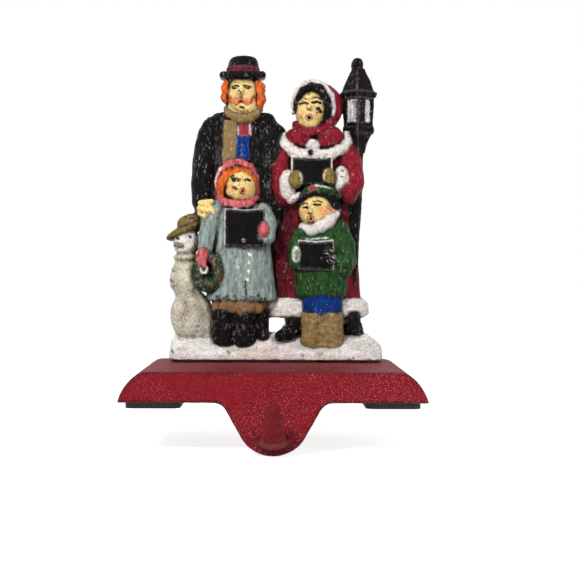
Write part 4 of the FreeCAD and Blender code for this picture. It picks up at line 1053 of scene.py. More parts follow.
@dataclass(frozen=True, kw_only=True)
class Girl(Carving):
    """The girl in the pink bonnet with a wreath."""

    title = "girl"
    boots: Forms = (
        *(Column(Paint.BOOT, ((5, x, 5.6), (8, x, 5.9), (16, x, 5.4), (25, x, 5.3)), front=20.5,
                 bulge=6.8, ends=1.6, folds=1.4, fold_depth=0.4)
          for x in (-24.7, -14.5)),
        Column(Paint.BOOT, ((7.5, -19.6, 5), (26, -19.6, 5)), front=17.6, bulge=4),
        Column(Paint.BOOT, ((9.5, -8.6, 5), (26, -8.6, 5)), front=14, bulge=4))
    petticoat: Form = Column(Paint.TAN, ((24.4, -17.4, 13.4), (26, -17.4, 13.7), (30, -17.2, 14.2)),
                             front=20, bulge=8, folds=7, fold_depth=1, ends=0.9)
    scallops: Forms = tuple(
        Pod(Paint.TAN, (x, 25.6, out), (2.6, drop, 1.6), grain=Grain.PLAIN, blend=0.7)
        for x, out, drop in ((-28.4, 15.4, 2.6), (-24.6, 17.8, 3.6), (-20.2, 18.8, 2.8),
                             (-16.2, 19.2, 3.8), (-11.8, 18.6, 2.6), (-8, 16.6, 3)))
    coat: Form = Column(
        Paint.GREY_COAT,
        ((29, -16.4, 18), (32, -16.4, 17.6), (42, -16.2, 16), (53, -16, 14.8), (66, -16.6, 13.3),
         (74, -17, 11.8), (78.5, -17.2, 8)), front=21, bulge=9, folds=3.5, fold_depth=0.8, ends=1.6)
    arms: Forms = tubes(
        Paint.GREY_COAT,
        ((-28.8, 75.5, 13, 4.3), (-31.8, 68, 14, 4.8), (-33.8, 60, 14.5, 4.4), (-34.2, 56, 15, 4)),
        ((-5.6, 74, 14, 4.2), (-3.2, 67.5, 15.5, 4.8), (-4, 61.5, 17, 4.5), (-7, 61, 18, 3.6)))
    mittens: Forms = (
        Pod(Paint.PINK, (-35.3, 51.2, 18.8), (3.2, 4.2, 3), blend=0.5),
        *tubes(Paint.PINK, ((-37, 49.6, 20.4, 1.1), (-36.4, 46.8, 20.6, 1)),
               ((-34.6, 49.4, 20.8, 1.1), (-34.4, 46.4, 20.8, 1)), blend=0.4),
        Pod(Paint.PINK, (-5.2, 64.4, 20.2), (2.9, 4.3, 2.9), blend=0.5))
    book: Form = Block(Paint.BOOK, (-14.6, 65.4), (9.2, 9.1), back=9, front=22.8, spine=1.8, dip=0.9,
                       edge=0.4, blend=0.3)
    pages: Form = Block(Paint.PAGE, (-14.9, 65.8), (9.8, 9.4), back=9, front=21.8, spine=1.8, dip=0.9,
                        edge=0.3, blend=0.3)
    wreath: Form = Hoop(Paint.WREATH, (-32.8, 43.3, 17.4), (5.2, 7.1), 3.1, blend=0.5)
    wreath_middle: Forms = (
        Hoop(Paint.CREAM_BOW, (-34.6, 44.6, 20), (1.5, 1.7), 0.75, blend=0.4),
        Pod(Paint.STEM, (-34.6, 44.6, 17.8), (2.4, 2.6, 2.2), blend=0.5),
        Pod(Paint.WREATH, (-32.6, 42.6, 15.2), (3.6, 5, 2.2), blend=0.7))
    scarf: Form = Tube(
        Paint.PINK,
        ((-27.4, 80, 12.4, 2.4), (-23.4, 77.8, 16, 2.6), (-17.8, 76.9, 18.2, 2.7),
         (-12.6, 78, 16.6, 2.6), (-9.6, 80.8, 12.8, 2)), blend=0.9)
    bonnet: Forms = (
        Tube(Paint.PINK,
             ((-28.2, 82.6, 11, 1.3), (-28.6, 89, 12.4, 1.5), (-26.6, 94.2, 13.4, 1.9),
              (-22, 97.3, 14.4, 2.4), (-17.2, 97.8, 14.4, 2.4), (-12.4, 96.2, 13.4, 1.9),
              (-9.2, 91.2, 12.8, 1.5), (-8.6, 84, 12, 1.2)), blend=0.8),
        Pod(Paint.PINK, (-18.4, 88, 9), (10.4, 10.8, 8), blend=0.8))
    hair: Form = Tube(
        Paint.ORANGE_HAIR,
        ((-26.2, 82.4, 13.6, 2.2), (-26.2, 87, 14.8, 2.6), (-23.8, 91.6, 15.6, 2.5),
         (-18.4, 93.8, 16, 2), (-13.2, 92.6, 15.6, 2), (-10.3, 89.2, 14.8, 1.7),
         (-9.9, 83.6, 14, 1.2)), blend=0.9)
    head: Form = Pod(Paint.SKIN, (-16.7, 86, 14.2), (7.3, 8.6, 6.8), tilt=6, blend=0.6)
    cheeks: Forms = pods(Paint.SKIN, ((-21.4, 83.6, 17.6), (2.5, 2.3, 2)),
                         ((-13.8, 84, 17.6), (2.6, 2.3, 2)), blend=1.2)
    nose: Form = Pod(Paint.SKIN, (-18.2, 85.8, 20.3), (1.05, 1.15, 1.1), blend=0.9)
    lips: Form = Hoop(Paint.SKIN, (-15.6, 83.6, 19.8), (1, 1.2), 0.5, blend=0.5)

    def hollows(self) -> list[Form]:
        """The open mouth and the slit of the coat."""
        return [
            mouth((-15.6, 83.6, 19.9), 0.75),
            Tube(Paint.GREY_COAT, ((-14.6, 39, 22, 0.3), (-13.8, 29, 22.2, 0.6)), deep=False,
                 blend=0.5)]

    def marks(self) -> list[Mark]:
        """Face, buttons, wreath berries and chips."""
        skin = (Paint.SKIN,)
        coat = (Paint.GREY_COAT,)
        dark = Paint.BLACK_HAIR
        berries = ((-33.4, 51), (-29.6, 50.4), (-27.4, 46.2), (-27.8, 40.2), (-30.8, 36.6),
                   (-35.2, 36.8), (-38.4, 41.6), (-30.2, 44), (-33.4, 39.6), (-29.6, 47.4),
                   (-32, 37.8))
        chips = ((-20.4, 52.4), (-19, 51.2), (-14.8, 54.8), (-20.2, 47.6), (-13.2, 51.6), (-28.2, 29.6),
                 (-25.2, 30.2), (-22.6, 29.4), (-10.4, 29.6), (-6.6, 30.2), (-28.4, 70.2), (-29.2, 60.8))
        return [
            Mark(dark, ((-19.4, 96.6), (-16.4, 96.4)), 0.45, (Paint.PINK, Paint.ORANGE_HAIR)),
            Mark(dark, ((-21.4, 91), (-20, 91.2)), 0.5, skin + (Paint.ORANGE_HAIR,)),
            Mark(dark, ((-21, 89.8), (-18.6, 90), (-17, 89.2)), 0.62, skin),
            Mark(dark, ((-20.6, 88.8), (-18, 88.8)), 0.55, skin),
            Mark(dark, ((-15, 89.2), (-13.4, 89.4), (-11.6, 88.8)), 0.62, skin),
            Mark(Paint.CHIP, ((-20.4, 85.6), (-19, 84.8)), 0.85, skin, edge=0.4),
            Mark(Paint.CHIN, ((-17.4, 89.6), (-17.2, 87), (-18.4, 85.6)), 0.4, skin, strength=0.6),
            Mark(Paint.CHEEK, ((-18.4, 82.2), (-15.6, 80.4), (-12.8, 81.8)), 0.5, skin, strength=0.6),
            *dabs(Paint.CHEEK, 2.1, skin, ((-21.8, 84.6),), ((-12.6, 84.6),), strength=0.5, edge=2.4),
            Mark(Paint.CHIP, ((-15.6, 83.6),), 1.75, skin, edge=0.3),
            Mark(Paint.CHEEK, ((-15.6, 83.7),), 1.1, edge=0.3),
            Mark(Paint.CHIP, ((-16.4, 82.2), (-14.9, 82)), 0.3, skin),
            Mark(Paint.SHIRT, ((-14.9, 58.9),), 1, (Paint.BOOK,), strength=0.6),
            Mark(Paint.BOOK, ((-14.9, 58.9),), 0.6),
            Mark(Paint.CHIP, ((-14.2, 39), (-14, 35), (-13.5, 31)), 0.4, coat, edge=0.4),
            # Painted highlight: a pale streak along the bonnet's upper left rim.
            Mark(Paint.PALE, ((-29.4, 86), (-29, 91.8), (-26.4, 95.8)), 0.5, (Paint.PINK,),
                 strength=0.7, edge=0.5),
            Mark(Paint.PALE, ((-24.6, 76.2), (-17.8, 74.9), (-11.8, 76.2)), 0.4, (Paint.PINK,),
                 strength=0.6, edge=0.5),
            *(Mark(Paint.PALE, ((x, h),), 0.8, coat, edge=0.3)
              for x, h in ((-12.1, 52.3), (-12.4, 48.1), (-12.5, 43.9), (-12.9, 39.7))),
            *(Mark(Paint.BERRY, (place,), 0.62, (Paint.WREATH,), edge=0.3) for place in berries),
            *(Mark(Paint.CHIP, ((x, h), (x + 0.5, h + 0.3)), 0.32, coat, edge=0.3) for x, h in chips),
            *flecks(Paint.STEM, (Paint.WREATH,), (-42, -24, 33, 54), 60, 0.34, seed=8),
            *flecks(Paint.BERRY, (Paint.WREATH,), (-42, -24, 33, 54), 34, 0.4, seed=9),
            *flecks(Paint.CHIP, coat, (-31, -3, 28.6, 31.6), 52, 0.46, seed=10)]


@dataclass(frozen=True, kw_only=True)
class Boy(Carving):
    """The boy in the green coat, white collar and knitted cap."""

    title = "boy"
    gaiters: Forms = (
        *(Column(Paint.GAITER, ((5.2, x, 5.3), (8, x, 5.5), (15, x, 5.5), (23.2, x, 5.3)), front=21.2,
                 bulge=6.4, ends=1.2, folds=1.6, fold_depth=0.5, blend=1.4)
          for x in (19.4, 29.6)),
        Column(Paint.GAITER, ((6, 24.5, 4), (23, 24.5, 4)), front=19.6, bulge=4, blend=1.4))
    trousers: Form = Column(Paint.BLUE, ((22.3, 24.5, 9.6), (27, 24.5, 9.9), (33, 24.4, 10)), front=20.6,
                            bulge=7, folds=2, fold_depth=1.1, ends=0.9)
    coat: Form = Column(
        Paint.GREEN,
        ((31, 23.9, 12.4), (34, 24, 13), (46, 24, 13.6), (56, 24, 13.6), (62, 24, 12), (66.8, 24, 8.5)),
        front=21, bulge=8.5, folds=3.4, fold_depth=0.7, ends=1.6)
    arms: Forms = tubes(
        Paint.GREEN, ((13.4, 61.5, 15, 4), (11.6, 55, 16.5, 4.5), (12, 48.5, 17.5, 3.9)),
        ((33, 66, 15, 4.2), (35.6, 57.5, 16, 5), (36.4, 49.5, 16.2, 4.9), (35, 45, 16.6, 4.2)),
        ((35, 48, 18.2, 3.6), (30, 50.5, 19.6, 3)))
    book: Form = Block(Paint.BOOK, (20.8, 52), (8.3, 6.8), back=10, front=23.4, spine=1.8, dip=0.9,
                       edge=0.5, blend=0.3)
    pages: Form = Block(Paint.PAGE, (20.9, 52.3), (8.8, 7.4), back=10, front=22.4, spine=1.8, dip=0.9,
                        edge=0.3, blend=0.3)
    hands: Forms = (
        Pod(Paint.CREAM_BOW, (11.2, 52.2, 20.4), (2.3, 4.4, 2.4), blend=0.5),
        *tubes(Paint.BLACK_HAIR, ((29.4, 49.4, 21.6, 1.6), (24.6, 50.2, 23, 1.2)),
               ((29.6, 52, 21.6, 1.6), (25.4, 52.9, 23, 1.2)),
               ((28.6, 54.2, 21.4, 1.2), (26.6, 55.4, 22.6, 1)), grain=Grain.PLAIN, blend=0.4))
    collar: Forms = (
        Tube(Paint.FUR,
             ((14.6, 66.4, 15, 2), (18.6, 64.6, 18.4, 2.7), (23.4, 66.2, 19.4, 3),
              (28, 69.6, 17.8, 3), (31.4, 74.4, 14.6, 2.2)), grain=Grain.SNOW, blend=0.6),
        Pod(Paint.FUR, (24, 66.2, 12.5), (9.6, 4.4, 6.5), grain=Grain.SNOW, blend=0.6))
    head: Form = Pod(Paint.SKIN, (21, 74.8, 14.4), (8.1, 9.2, 7), tilt=-6, blend=0.6)
    jaw: Form = Pod(Paint.SKIN, (26.8, 72.8, 13.2), (6, 5.4, 6), blend=1.4)
    cheeks: Forms = pods(Paint.SKIN, ((16.4, 72, 18.2), (2.3, 2.4, 2)),
                         ((23.8, 72.4, 18.2), (2.9, 2.6, 2)), blend=1.2)
    nose: Form = Tube(Paint.SKIN, ((18.6, 76.4, 20.6, 0.7), (17.8, 73.6, 21.8, 1)), blend=0.9)
    lips: Form = Hoop(Paint.SKIN, (18.4, 70, 20.2), (1, 1.2), 0.5, blend=0.5)
    hair: Forms = (
        Pod(Paint.BLACK_HAIR, (24, 77.6, 11), (8.2, 7, 6.4)),
        *tubes(Paint.BLACK_HAIR,
               ((25.6, 82, 17.6, 1.6), (28.6, 80.4, 17, 2.5), (30.6, 77, 15.8, 2.7),
                (31.6, 74, 14.6, 1.9), (32.2, 72, 13.6, 0.9)),
               ((13.7, 77.6, 16.2, 1.2), (15.7, 81.2, 18.2, 1.4), (20.6, 82.9, 19.4, 1.3),
                (25.4, 82.2, 18.8, 1.5)), blend=0.4))
    cap: Form = Pod(Paint.GREEN, (23, 83.4, 12), (10.4, 5.6, 8.2), grain=Grain.LEAF, blend=0.5)
    cap_roll: Form = Tube(
        Paint.GREEN,
        ((13.2, 81.4, 14.8, 1.3), (16.4, 84.4, 18, 1.6), (21.6, 85.9, 19.4, 1.7),
         (27.4, 84.9, 18.4, 1.7), (32, 81.4, 14.8, 1.5)), grain=Grain.LEAF, blend=0.5)

    def hollows(self) -> list[Form]:
        """The open mouth and the gap between the legs."""
        return [
            mouth((18.4, 70, 20.3), 0.75),
            Tube(Paint.BLUE, ((24.4, 30, 20.9, 0.7), (24.5, 20, 20.9, 1)), deep=False, blend=0.5)]

    def marks(self) -> list[Mark]:
        """Face, cap and coat strokes."""
        skin = (Paint.SKIN,)
        cap = (Paint.GREEN,)
        dark = Paint.BLACK_HAIR
        return [
            Mark(Paint.PALE, ((20.6, 86.4), (24, 86.4), (28, 85.2)), 0.4, cap, strength=0.8,
                 edge=0.4),
            Mark(Paint.PINK, ((18.4, 85.4), (20, 85)), 1.5, cap, strength=0.75, edge=0.8),
            Mark(dark, ((14.4, 77.2), (15.4, 77.8), (17, 77.4)), 0.38, skin),
            Mark(dark, ((19.6, 78.6), (21.8, 79), (24, 78.2)), 0.42, skin),
            *dabs(dark, 0.66, skin, ((14.8, 75.7), (16.8, 75.7)), ((20, 76.9), (22.8, 77.1))),
            Mark(Paint.CHIN, ((18.6, 77.8), (17.8, 75.2), (17, 73.4)), 0.4, skin, strength=0.6),
            Mark(Paint.CHEEK, ((27.6, 75.6), (29.4, 73.6)), 1.6, skin, strength=0.8, edge=1.4),
            Mark(Paint.TAN, ((25.4, 76.4), (28.6, 74.4), (29.6, 71.4)), 0.35, skin, strength=0.7),
            Mark(Paint.CHEEK, ((15.6, 72.8),), 1.6, skin, strength=0.5, edge=2),
            Mark(Paint.CHEEK, ((24.4, 73.4),), 2.6, skin, strength=0.55, edge=2.4),
            Mark(Paint.CHIP, ((17.2, 72.8), (18.6, 72.6)), 0.42, skin),
            Mark(Paint.MOUTH, ((18.4, 70),), 1.9, skin, strength=0.8, edge=0.4),
            Mark(Paint.CHEEK, ((18.4, 70),), 1.25, edge=0.3),
            Mark(Paint.CHIP, ((18.4, 70),), 0.65, edge=0.3),
            *dabs(Paint.CREAM_BOW, 0.4, cap, ((16, 59.6), (21.8, 60.2), (26.8, 60.6)),
                  ((29.4, 56.6), (29.8, 50), (28.6, 47)), edge=0.4),
            Mark(Paint.WREATH, ((11.4, 54.2), (11.2, 50.4)), 0.9, (Paint.CREAM_BOW,), strength=0.8,
                 edge=0.6),
            Mark(Paint.CHIP, ((20.4, 43.2), (20.2, 34.4)), 0.35, cap, strength=0.8, edge=0.5),
            # Painted shade: darker green under the collar and down the right arm.
            Mark(Paint.WREATH, ((12.6, 62.4), (17.6, 62.6), (24, 62)), 0.9, cap, strength=0.8,
                 edge=1.2),
            Mark(Paint.WREATH, ((33, 44), (37, 50), (37.4, 56)), 1.6, cap, strength=0.7,
                 edge=2.4),
            *flecks(Paint.PALE, (Paint.BLACK_HAIR,), (23.4, 30.8, 47.4, 56.6), 22, 0.24, seed=14),
            *flecks(Paint.CHIP, cap, (11, 38, 31, 46), 30, 0.34, seed=15)]


@dataclass(frozen=True, kw_only=True)
class Snowman(Carving):
    """The snowman in the olive hat."""

    title = "snowman"
    body: Forms = (
        Pod(Paint.SNOWMAN, (-41.6, 21.5, 9), (10.6, 12.8, 9.5), blend=2.4),
        Pod(Paint.SNOWMAN, (-35, 16, 7), (6, 9, 8), blend=3),
        Pod(Paint.SNOWMAN, (-44.2, 40, 9), (7.9, 11.2, 8.2), blend=2.4),
        *pods(Paint.SNOWMAN, ((-49.6, 38.6, 9), (2.8, 3.6, 3.6)), ((-44.4, 50.6, 9), (6.2, 2.6, 7)),
              blend=1.2),
        Pod(Paint.SNOW, (-44.4, 58.6, 10), (6.6, 7.4, 7), blend=1))
    nose: Form = Tube(Paint.OLIVE, ((-45.8, 56.6, 16.4, 0.9), (-49.2, 56.9, 16.6, 0.8)), blend=0.5)
    hat: Forms = (
        Pod(Paint.OLIVE, (-45.4, 64.2, 9.5), (9.7, 2.5, 8.6), tilt=25, grain=Grain.CLOTH, blend=0.5),
        Tube(Paint.OLIVE, ((-52.6, 60.4, 10.6, 1.2), (-49.6, 61.6, 13.4, 1.4), (-46, 63.6, 15.4, 1.2)),
             blend=0.8),
        Pod(Paint.OLIVE, (-42.6, 67.6, 9), (6.4, 5, 6.8), tilt=14, grain=Grain.CLOTH, blend=0.6))

    def marks(self) -> list[Mark]:
        """Eyes, mouth, neck ticks, tan and olive patches on the body, and hat marks."""
        white = (Paint.SNOWMAN, Paint.SNOW)
        hat = (Paint.OLIVE,)
        dark = Paint.CHIP
        chips = ((-50.8, 44.4), (-51.6, 39.4), (-50.4, 36.4), (-44.2, 28.4))
        return [
            *dabs(dark, 0.85, white, ((-48.1, 60.1),), ((-41.8, 60.8),)),
            Mark(dark, ((-49.6, 57.6), (-47.2, 55.4), (-45.4, 55.2)), 0.28, white, strength=0.8),
            Mark(dark, ((-48.4, 50.8), (-48.2, 49.2)), 0.45, white),
            *dabs(dark, 0.5, white, ((-46.3, 50.4), (-46.2, 48.7)), ((-43.8, 50.4), (-43.8, 48.9))),
            Mark(dark, ((-41, 50.6), (-41.2, 49.3)), 0.45, white),
            # Darker tan and olive patches low on the body and at its left side.
            Mark(Paint.TAN, ((-44.4, 29), (-43, 24.6), (-45, 22)), 2.4, white, strength=0.5,
                 edge=2.4),
            Mark(Paint.OLIVE, ((-38, 30), (-36, 22)), 2.6, white, strength=0.4, edge=3),
            Mark(Paint.OLIVE, ((-49, 46), (-47, 34)), 1.6, white, strength=0.25, edge=2.4),
            Mark(dark, ((-49.6, 65), (-45.4, 66.2), (-38, 69.4)), 0.4, hat, strength=0.75, edge=0.7),
            # Painted shade under the drooping left end of the brim.
            Mark(dark, ((-53.4, 60), (-50.6, 60.4)), 0.7, hat, strength=0.8, edge=0.9),
            Mark(Paint.TAN, ((-46.6, 70), (-41.6, 71.4)), 1.2, hat, strength=0.6, edge=1.4),
            *flecks(Paint.CHIP, hat, (-54, -36, 58, 73), 16, 0.36, seed=16),
            *(Mark(dark, ((x, h), (x + 0.3, h - 0.6)), 0.5, white, strength=0.8, edge=0.5)
              for x, h in chips),
            *flecks(Paint.CHIP, white, (-52, -33, 12, 56), 34, 0.24, seed=3)]


@dataclass(frozen=True, kw_only=True)
class StreetLamp(Carving):
    """The street lamp at the right."""

    title = "street_lamp"
    post: Form = Column(
        Paint.LAMP,
        ((11, 40.2, 5.4), (14, 40.2, 4.6), (24, 39.8, 4.3), (30, 39.5, 3.5), (58, 39.8, 3.5),
         (80, 41, 4), (104, 42, 3.2), (108, 42.4, 3.6)), front=8.5, bulge=4.6)
    taper: Form = Lantern(Paint.LAMP, (42.7, 5.5), ((104, 3.4), (109, 4.6), (114.5, 7.4)),
                          blend=0.4)
    body: Form = Lantern(Paint.LAMP, (42.7, 5.5), ((113.5, 7.4), (132.4, 8.3)), blend=0.3)
    sill: Form = Lantern(Paint.LAMP, (42.7, 5.5), ((114, 8.2), (117.4, 8.2)), edge=0.7)
    eave: Form = Lantern(Paint.LAMP, (42.7, 5.5), ((132, 9.3), (135.2, 9.7)), edge=0.9,
                         blend=0.3)
    roof: Form = Lantern(Paint.LAMP, (42.5, 5.5), ((134.4, 8.8), (141, 6.2), (147.4, 3.2)),
                         edge=0.6, blend=0.5)
    finial: Forms = pods(Paint.LAMP, ((42.1, 149, 5.5), (3, 3.3, 3)),
                         ((42.1, 150.7, 5.5), (2.4, 1.7, 2.4)), blend=0.6)

    def hollows(self) -> list[Form]:
        """The sunk window panes."""
        return [Tube(Paint.PANE, ((x, 120.6, d, 1.5), (x, 128.4, d, 1.5)), deep=False, blend=0.3)
                for x, d in ((38.6, 10.6), (40.2, 11.6), (47, 11))]

    def marks(self) -> list[Mark]:
        """The pale window panes."""
        iron = (Paint.LAMP,)
        strokes = []
        for low, high in ((37.8, 40.4), (46.5, 47.6)):
            for step in range(4):
                across = low + (high - low) * step / 3
                strokes.append(Mark(paint=Paint.PANE, line=((across, 120.2), (across, 129.8)), half=0.75,
                                    on=iron, edge=0.4))
        return strokes


@dataclass(frozen=True, kw_only=True)
class Ground(Carving):
    """The snow that the group stands on."""

    title = "snow"
    drift: Form = Drift(Paint.SNOW, across=1.3, length=106.8, depth=24, top=12.6, lip=3.6, slope=15,
                        blend=0.7)

    def marks(self) -> list[Mark]:
        """Chips along the lip and beside the boots."""
        snow = (Paint.SNOW,)
        chips = (((-22.6, 3.9), (-21.8, 3.7), (-22, 2.2)), ((14.2, 2.7), (14.8, 2.3), (14.4, 1.7)),
                 ((22.6, 3.2), (23.6, 2.9), (24.4, 3.5)), ((39.4, 1.2), (40.2, 1.2)),
                 ((-50.6, 4.2), (-49.8, 3.4)))
        return [
            *(Mark(Paint.CHIP, line, 0.5, snow, strength=0.9, edge=0.5) for line in chips),
            *flecks(Paint.CHIP, snow, (-51, 54, 1, 12), 46, 0.22, seed=5)]


@dataclass(frozen=True, kw_only=True)
class Footing(Carving):
    """The two bosses that hold the group off the base."""

    title = "footing"
    bosses: Forms = tuple(
        Tube(Paint.SNOW, ((x, 3, SCREWS_OUT, 4.5), (x, -5, SCREWS_OUT, 4.5)), deep=False,
             grain=Grain.PLAIN, blend=0.2)
        for x in SCREWS_ACROSS)


SCREW_HOLES = tuple(Tube(Paint.CHIP, ((x, 4.6, SCREWS_OUT, 2.2), (x, -9.0, SCREWS_OUT, 2.2)), deep=False,
                         blend=0.1) for x in SCREWS_ACROSS)


@dataclass(frozen=True)
class Group:
    """The painted group, carved as one piece and painted form by form."""

    back: float
    underside: float
    cell: float = 0.46
    low: Point = (-57.0, -2.6, -1.5)
    high: Point = (58.0, 154.5, 28.0)
    boss_height: float = 1.2
    margin: float = 3.0
    soft: float = 0.12
    near: float = 1.1
    far: float = 3.0
    back_paint: Paint = Paint.COAT_BLACK
    parts: tuple[Carving, ...] = (Ground(), Footing(), StreetLamp(), Snowman(), Singer(), Lady(), Girl(),
                                  Boy())

    def carve(self) -> Clay:
        """Lays in every form, cuts the hollows and flattens the back and the underside."""
        clay = Clay(self.low, self.high, self.cell)
        for part in self.parts:
            for form in part.forms():
                clay.add(form)
        for part in self.parts:
            for hollow in part.hollows():
                clay.carve(hollow)
        for hole in SCREW_HOLES:
            clay.carve(hole)
        x, h, d = open_grid(clay.axes)
        clay.trim(-d + 0 * x + 0 * h, 0.8)
        clay.trim(-h - self.boss_height + 0 * x + 0 * d, 0.3)
        return clay

    def paint(self, clay: Clay, points: Array, normals: Array) -> tuple[dict[str, Array], Array]:
        """Colours every point of the skin.

        Args:
            clay: the carved block.
            points: the skin's points in mm.
            normals: their outward directions.

        Returns:
            Colour, roughness, grit and hollow values, and the part that each point belongs to.
        """
        x, h, d = (points[:, i] for i in range(3))
        wobble = self.wobble(x, h, d)
        near: dict[Paint, Array] = {}
        parts = np.full((len(self.parts), len(points)), 9.0)
        for number, part in enumerate(self.parts):
            for form in part.forms():
                x0, x1, h0, h1 = form.reach()
                close = ((x > x0 - self.margin) & (x < x1 + self.margin)
                         & (h > h0 - self.margin) & (h < h1 + self.margin))
                gap = form.distance(x[close], h[close], d[close])
                kept = near.setdefault(form.paint, np.full(len(points), 9.0))
                kept[close] = np.minimum(kept[close], gap)
                parts[number, close] = np.minimum(parts[number, close], gap)
        paints = list(near)
        gaps = np.stack([near[p] for p in paints])
        gaps[1:] += wobble * 0.25
        share = np.exp(-(gaps - gaps.min(axis=0)) / self.soft)
        share /= share.sum(axis=0)
        owner = gaps.argmin(axis=0)
        colour = share.T @ np.array([p.value.colour() for p in paints])
        rough = share.T @ np.array([p.value.roughness for p in paints])
        grit = share.T @ np.array([p.value.grit for p in paints])
        first, second = np.partition(gaps, 1, axis=0)[:2]
        seam = np.clip(1.1 - (second - first) / 0.55, 0, 1) * np.clip(0.75 + 1.6 * wobble, 0, 1)
        colour += (0.75 * seam)[:, None] * (np.array(Paint.CHIP.value.colour()) - colour)
        facing = np.clip(normals[:, 2] * 4 + 0.6, 0, 1)
        behind = np.clip(-normals[:, 2] * 3 - 1 + 0.5 * wobble, 0, 1) * np.clip(1.6 - d, 0, 1)
        colour += behind[:, None] * (np.array(self.back_paint.value.colour()) - colour)
        grit += behind * (0.2 - grit)
        for part in self.parts:
            for mark in part.marks():
                cover = mark.cover(x + wobble * 0.5, h - wobble * 0.4) * facing
                if mark.on:
                    allowed = [paints.index(p) for p in mark.on if p in paints]
                    cover = cover * np.isin(owner, allowed)
                colour += cover[:, None] * (np.array(mark.paint.value.colour()) - colour)
                rough += cover * (mark.paint.value.roughness - rough)
        probe = Probe(clay)
        ridge = 1 + probe.at(points - normals * self.near) / self.near
        hollow = 1 - probe.at(points + normals * self.near) / self.near
        deep = 1 - probe.at(points + normals * self.far) / self.far
        looks = {"paint": colour, "rough": rough, "grit": grit, "ridge": np.clip(ridge, 0, 1),
                 "hollow": np.clip(0.7 * hollow + 0.3 * deep, 0, 1)}
        return looks, parts.argmin(axis=0)

    def wobble(self, x: Array, h: Array, d: Array) -> Array:
        """How far a brushed edge strays at each place, from about -1 to 1."""
        slow = np.sin(x * 1.7 + 2.0 * np.sin(h * 0.9)) * np.sin(h * 1.9 + d)
        quick = np.sin(x * 4.3 + 1.7 * np.sin(h * 3.1 + 0.5)) * np.sin(h * 5.1 + 1.3 * np.sin(x * 2.7))
        return 0.6 * slow + 0.5 * quick

    def build(self, material: bpy.types.Material) -> list[bpy.types.Object]:
        """Carves, meshes and paints the group.

        Args:
            material: the paint's finish.

        Returns:
            One object for each part of the group; their skins meet edge to edge.
        """
        clay = self.carve()
        points, faces = clay.skin()
        places = np.column_stack([points[:, 0], self.back / MM - points[:, 2],
                                  points[:, 1] + self.underside / MM + self.boss_height]) * MM
        whole = mesh_of("whole_group", places, faces)
        normals = directions(whole)
        bpy.data.meshes.remove(whole)
        outward = np.column_stack([normals[:, 0], normals[:, 2], -normals[:, 1]])
        looks, owners = self.paint(clay, points, outward)
        pieces = []
        for number, part in enumerate(self.parts):
            mine = faces[owners[faces[:, 0]] == number]
            if len(mine) == 0:
                continue
            kept, corners = np.unique(mine, return_inverse=True)
            mesh = mesh_of(part.title, places[kept], corners.reshape(-1, 4))
            mesh.normals_split_custom_set_from_vertices(normals[kept].tolist())
            for name, values in looks.items():
                store(mesh, name, values[kept])
            mesh.materials.append(material)
            piece = bpy.data.objects.new(part.title, mesh)
            bpy.context.scene.collection.objects.link(piece)
            log.info("%s: %d faces", part.title, len(mine))
            pieces.append(piece)
        return pieces


@dataclass(frozen=True)
class Base:
    """The red cast base with its tongue and hook, in mm from the mantel's top and front edge."""

    cell: float = 0.68
    low: Point = (-71.0, -22.5, -85.2)
    high: Point = (71.5, 18.5, 27.0)
    reading: float = 1.6
    block: Plinth = Plinth(Paint.RED_CAST, half=69.9, top_half=59.1, low=3.0, high=16.9, end_radius=21.8,
                           front=5.9, back=-83.9, blend=0.02)
    apron: Apron = Apron(Paint.RED_CAST, half=69.9, top_half=59.1, low=3.0, high=16.9, end_radius=21.8,
                         front=5.9, back=0.0, root_half=23.2, tip_radius=16.6, drop=23.9, blend=0.02)
    hook: Horn = Horn(
        Paint.RED_CAST, blend=4.5,
        rings=((-9.8, 3.0, 8.6, 4.0), (-13.1, 6.8, 7.8, 3.6), (-13.6, 12.0, 6.6, 3.25),
               (-11.6, 15.9, 5.5, 2.9), (-8.8, 18.0, 4.9, 2.7), (-2.45, 20.8, 3.9, 2.4),
               (2.0, 22.9, 3.1, 2.2)))
    recess: Recess = Recess(Paint.RED_CAST, half=38.0, front=-5.0, back=-79.0, ceiling=12.0, blend=0.5)

    def build(self, material: bpy.types.Material) -> bpy.types.Object:
        """Carves and meshes the base.

        Args:
            material: the base's finish.

        Returns:
            The finished object.
        """
        clay = Clay(self.low, self.high, self.cell)
        for form in (self.block, self.apron, self.hook):
            clay.add(form)
        clay.carve(self.recess)
        points, faces = clay.skin()
        places = np.column_stack([points[:, 0], -points[:, 2], points[:, 1]]) * MM
        mesh = mesh_of("base", places, faces)
        normals = directions(mesh)
        outward = np.column_stack([normals[:, 0], normals[:, 2], -normals[:, 1]])
        probe = Probe(clay)
        inside, outside = (probe.at(points + outward * step) for step in (-self.reading, self.reading))
        store(mesh, "edge", np.clip(1 + inside / self.reading, 0, 1))
        store(mesh, "hollow", np.clip(1 - outside / self.reading, 0, 1))
        # How close each point is to the hook, for the painted shade there.
        store(mesh, "hook_shade", np.clip(1 - self.hook.distance(*points.T) / 2.5, 0, 1))
        mesh.materials.append(material)
        piece = bpy.data.objects.new("base", mesh)
        bpy.context.scene.collection.objects.link(piece)
        log.info("base: %d faces", len(faces))
        return piece


class Probe:
    """Reads a clay block's field at any place."""

    def __init__(self, clay: Clay) -> None:
        """Keeps the block."""
        self.clay = clay
        self.low = np.array([axis[0] for axis in clay.axes])

    def at(self, points: Array) -> Array:
        """The field at each point, from the eight cells about it."""
        place = (points - self.low) / self.clay.cell
        limit = np.array(self.clay.field.shape) - 2
        base = np.clip(np.floor(place).astype(int), 0, limit)
        share = np.clip(place - base, 0, 1)
        total = np.zeros(len(points))
        for corner in np.ndindex(2, 2, 2):
            weight = np.prod(np.where(np.array(corner) == 1, share, 1 - share), axis=1)
            cells = base + np.array(corner)
            total += weight * self.clay.field[cells[:, 0], cells[:, 1], cells[:, 2]]
        return total


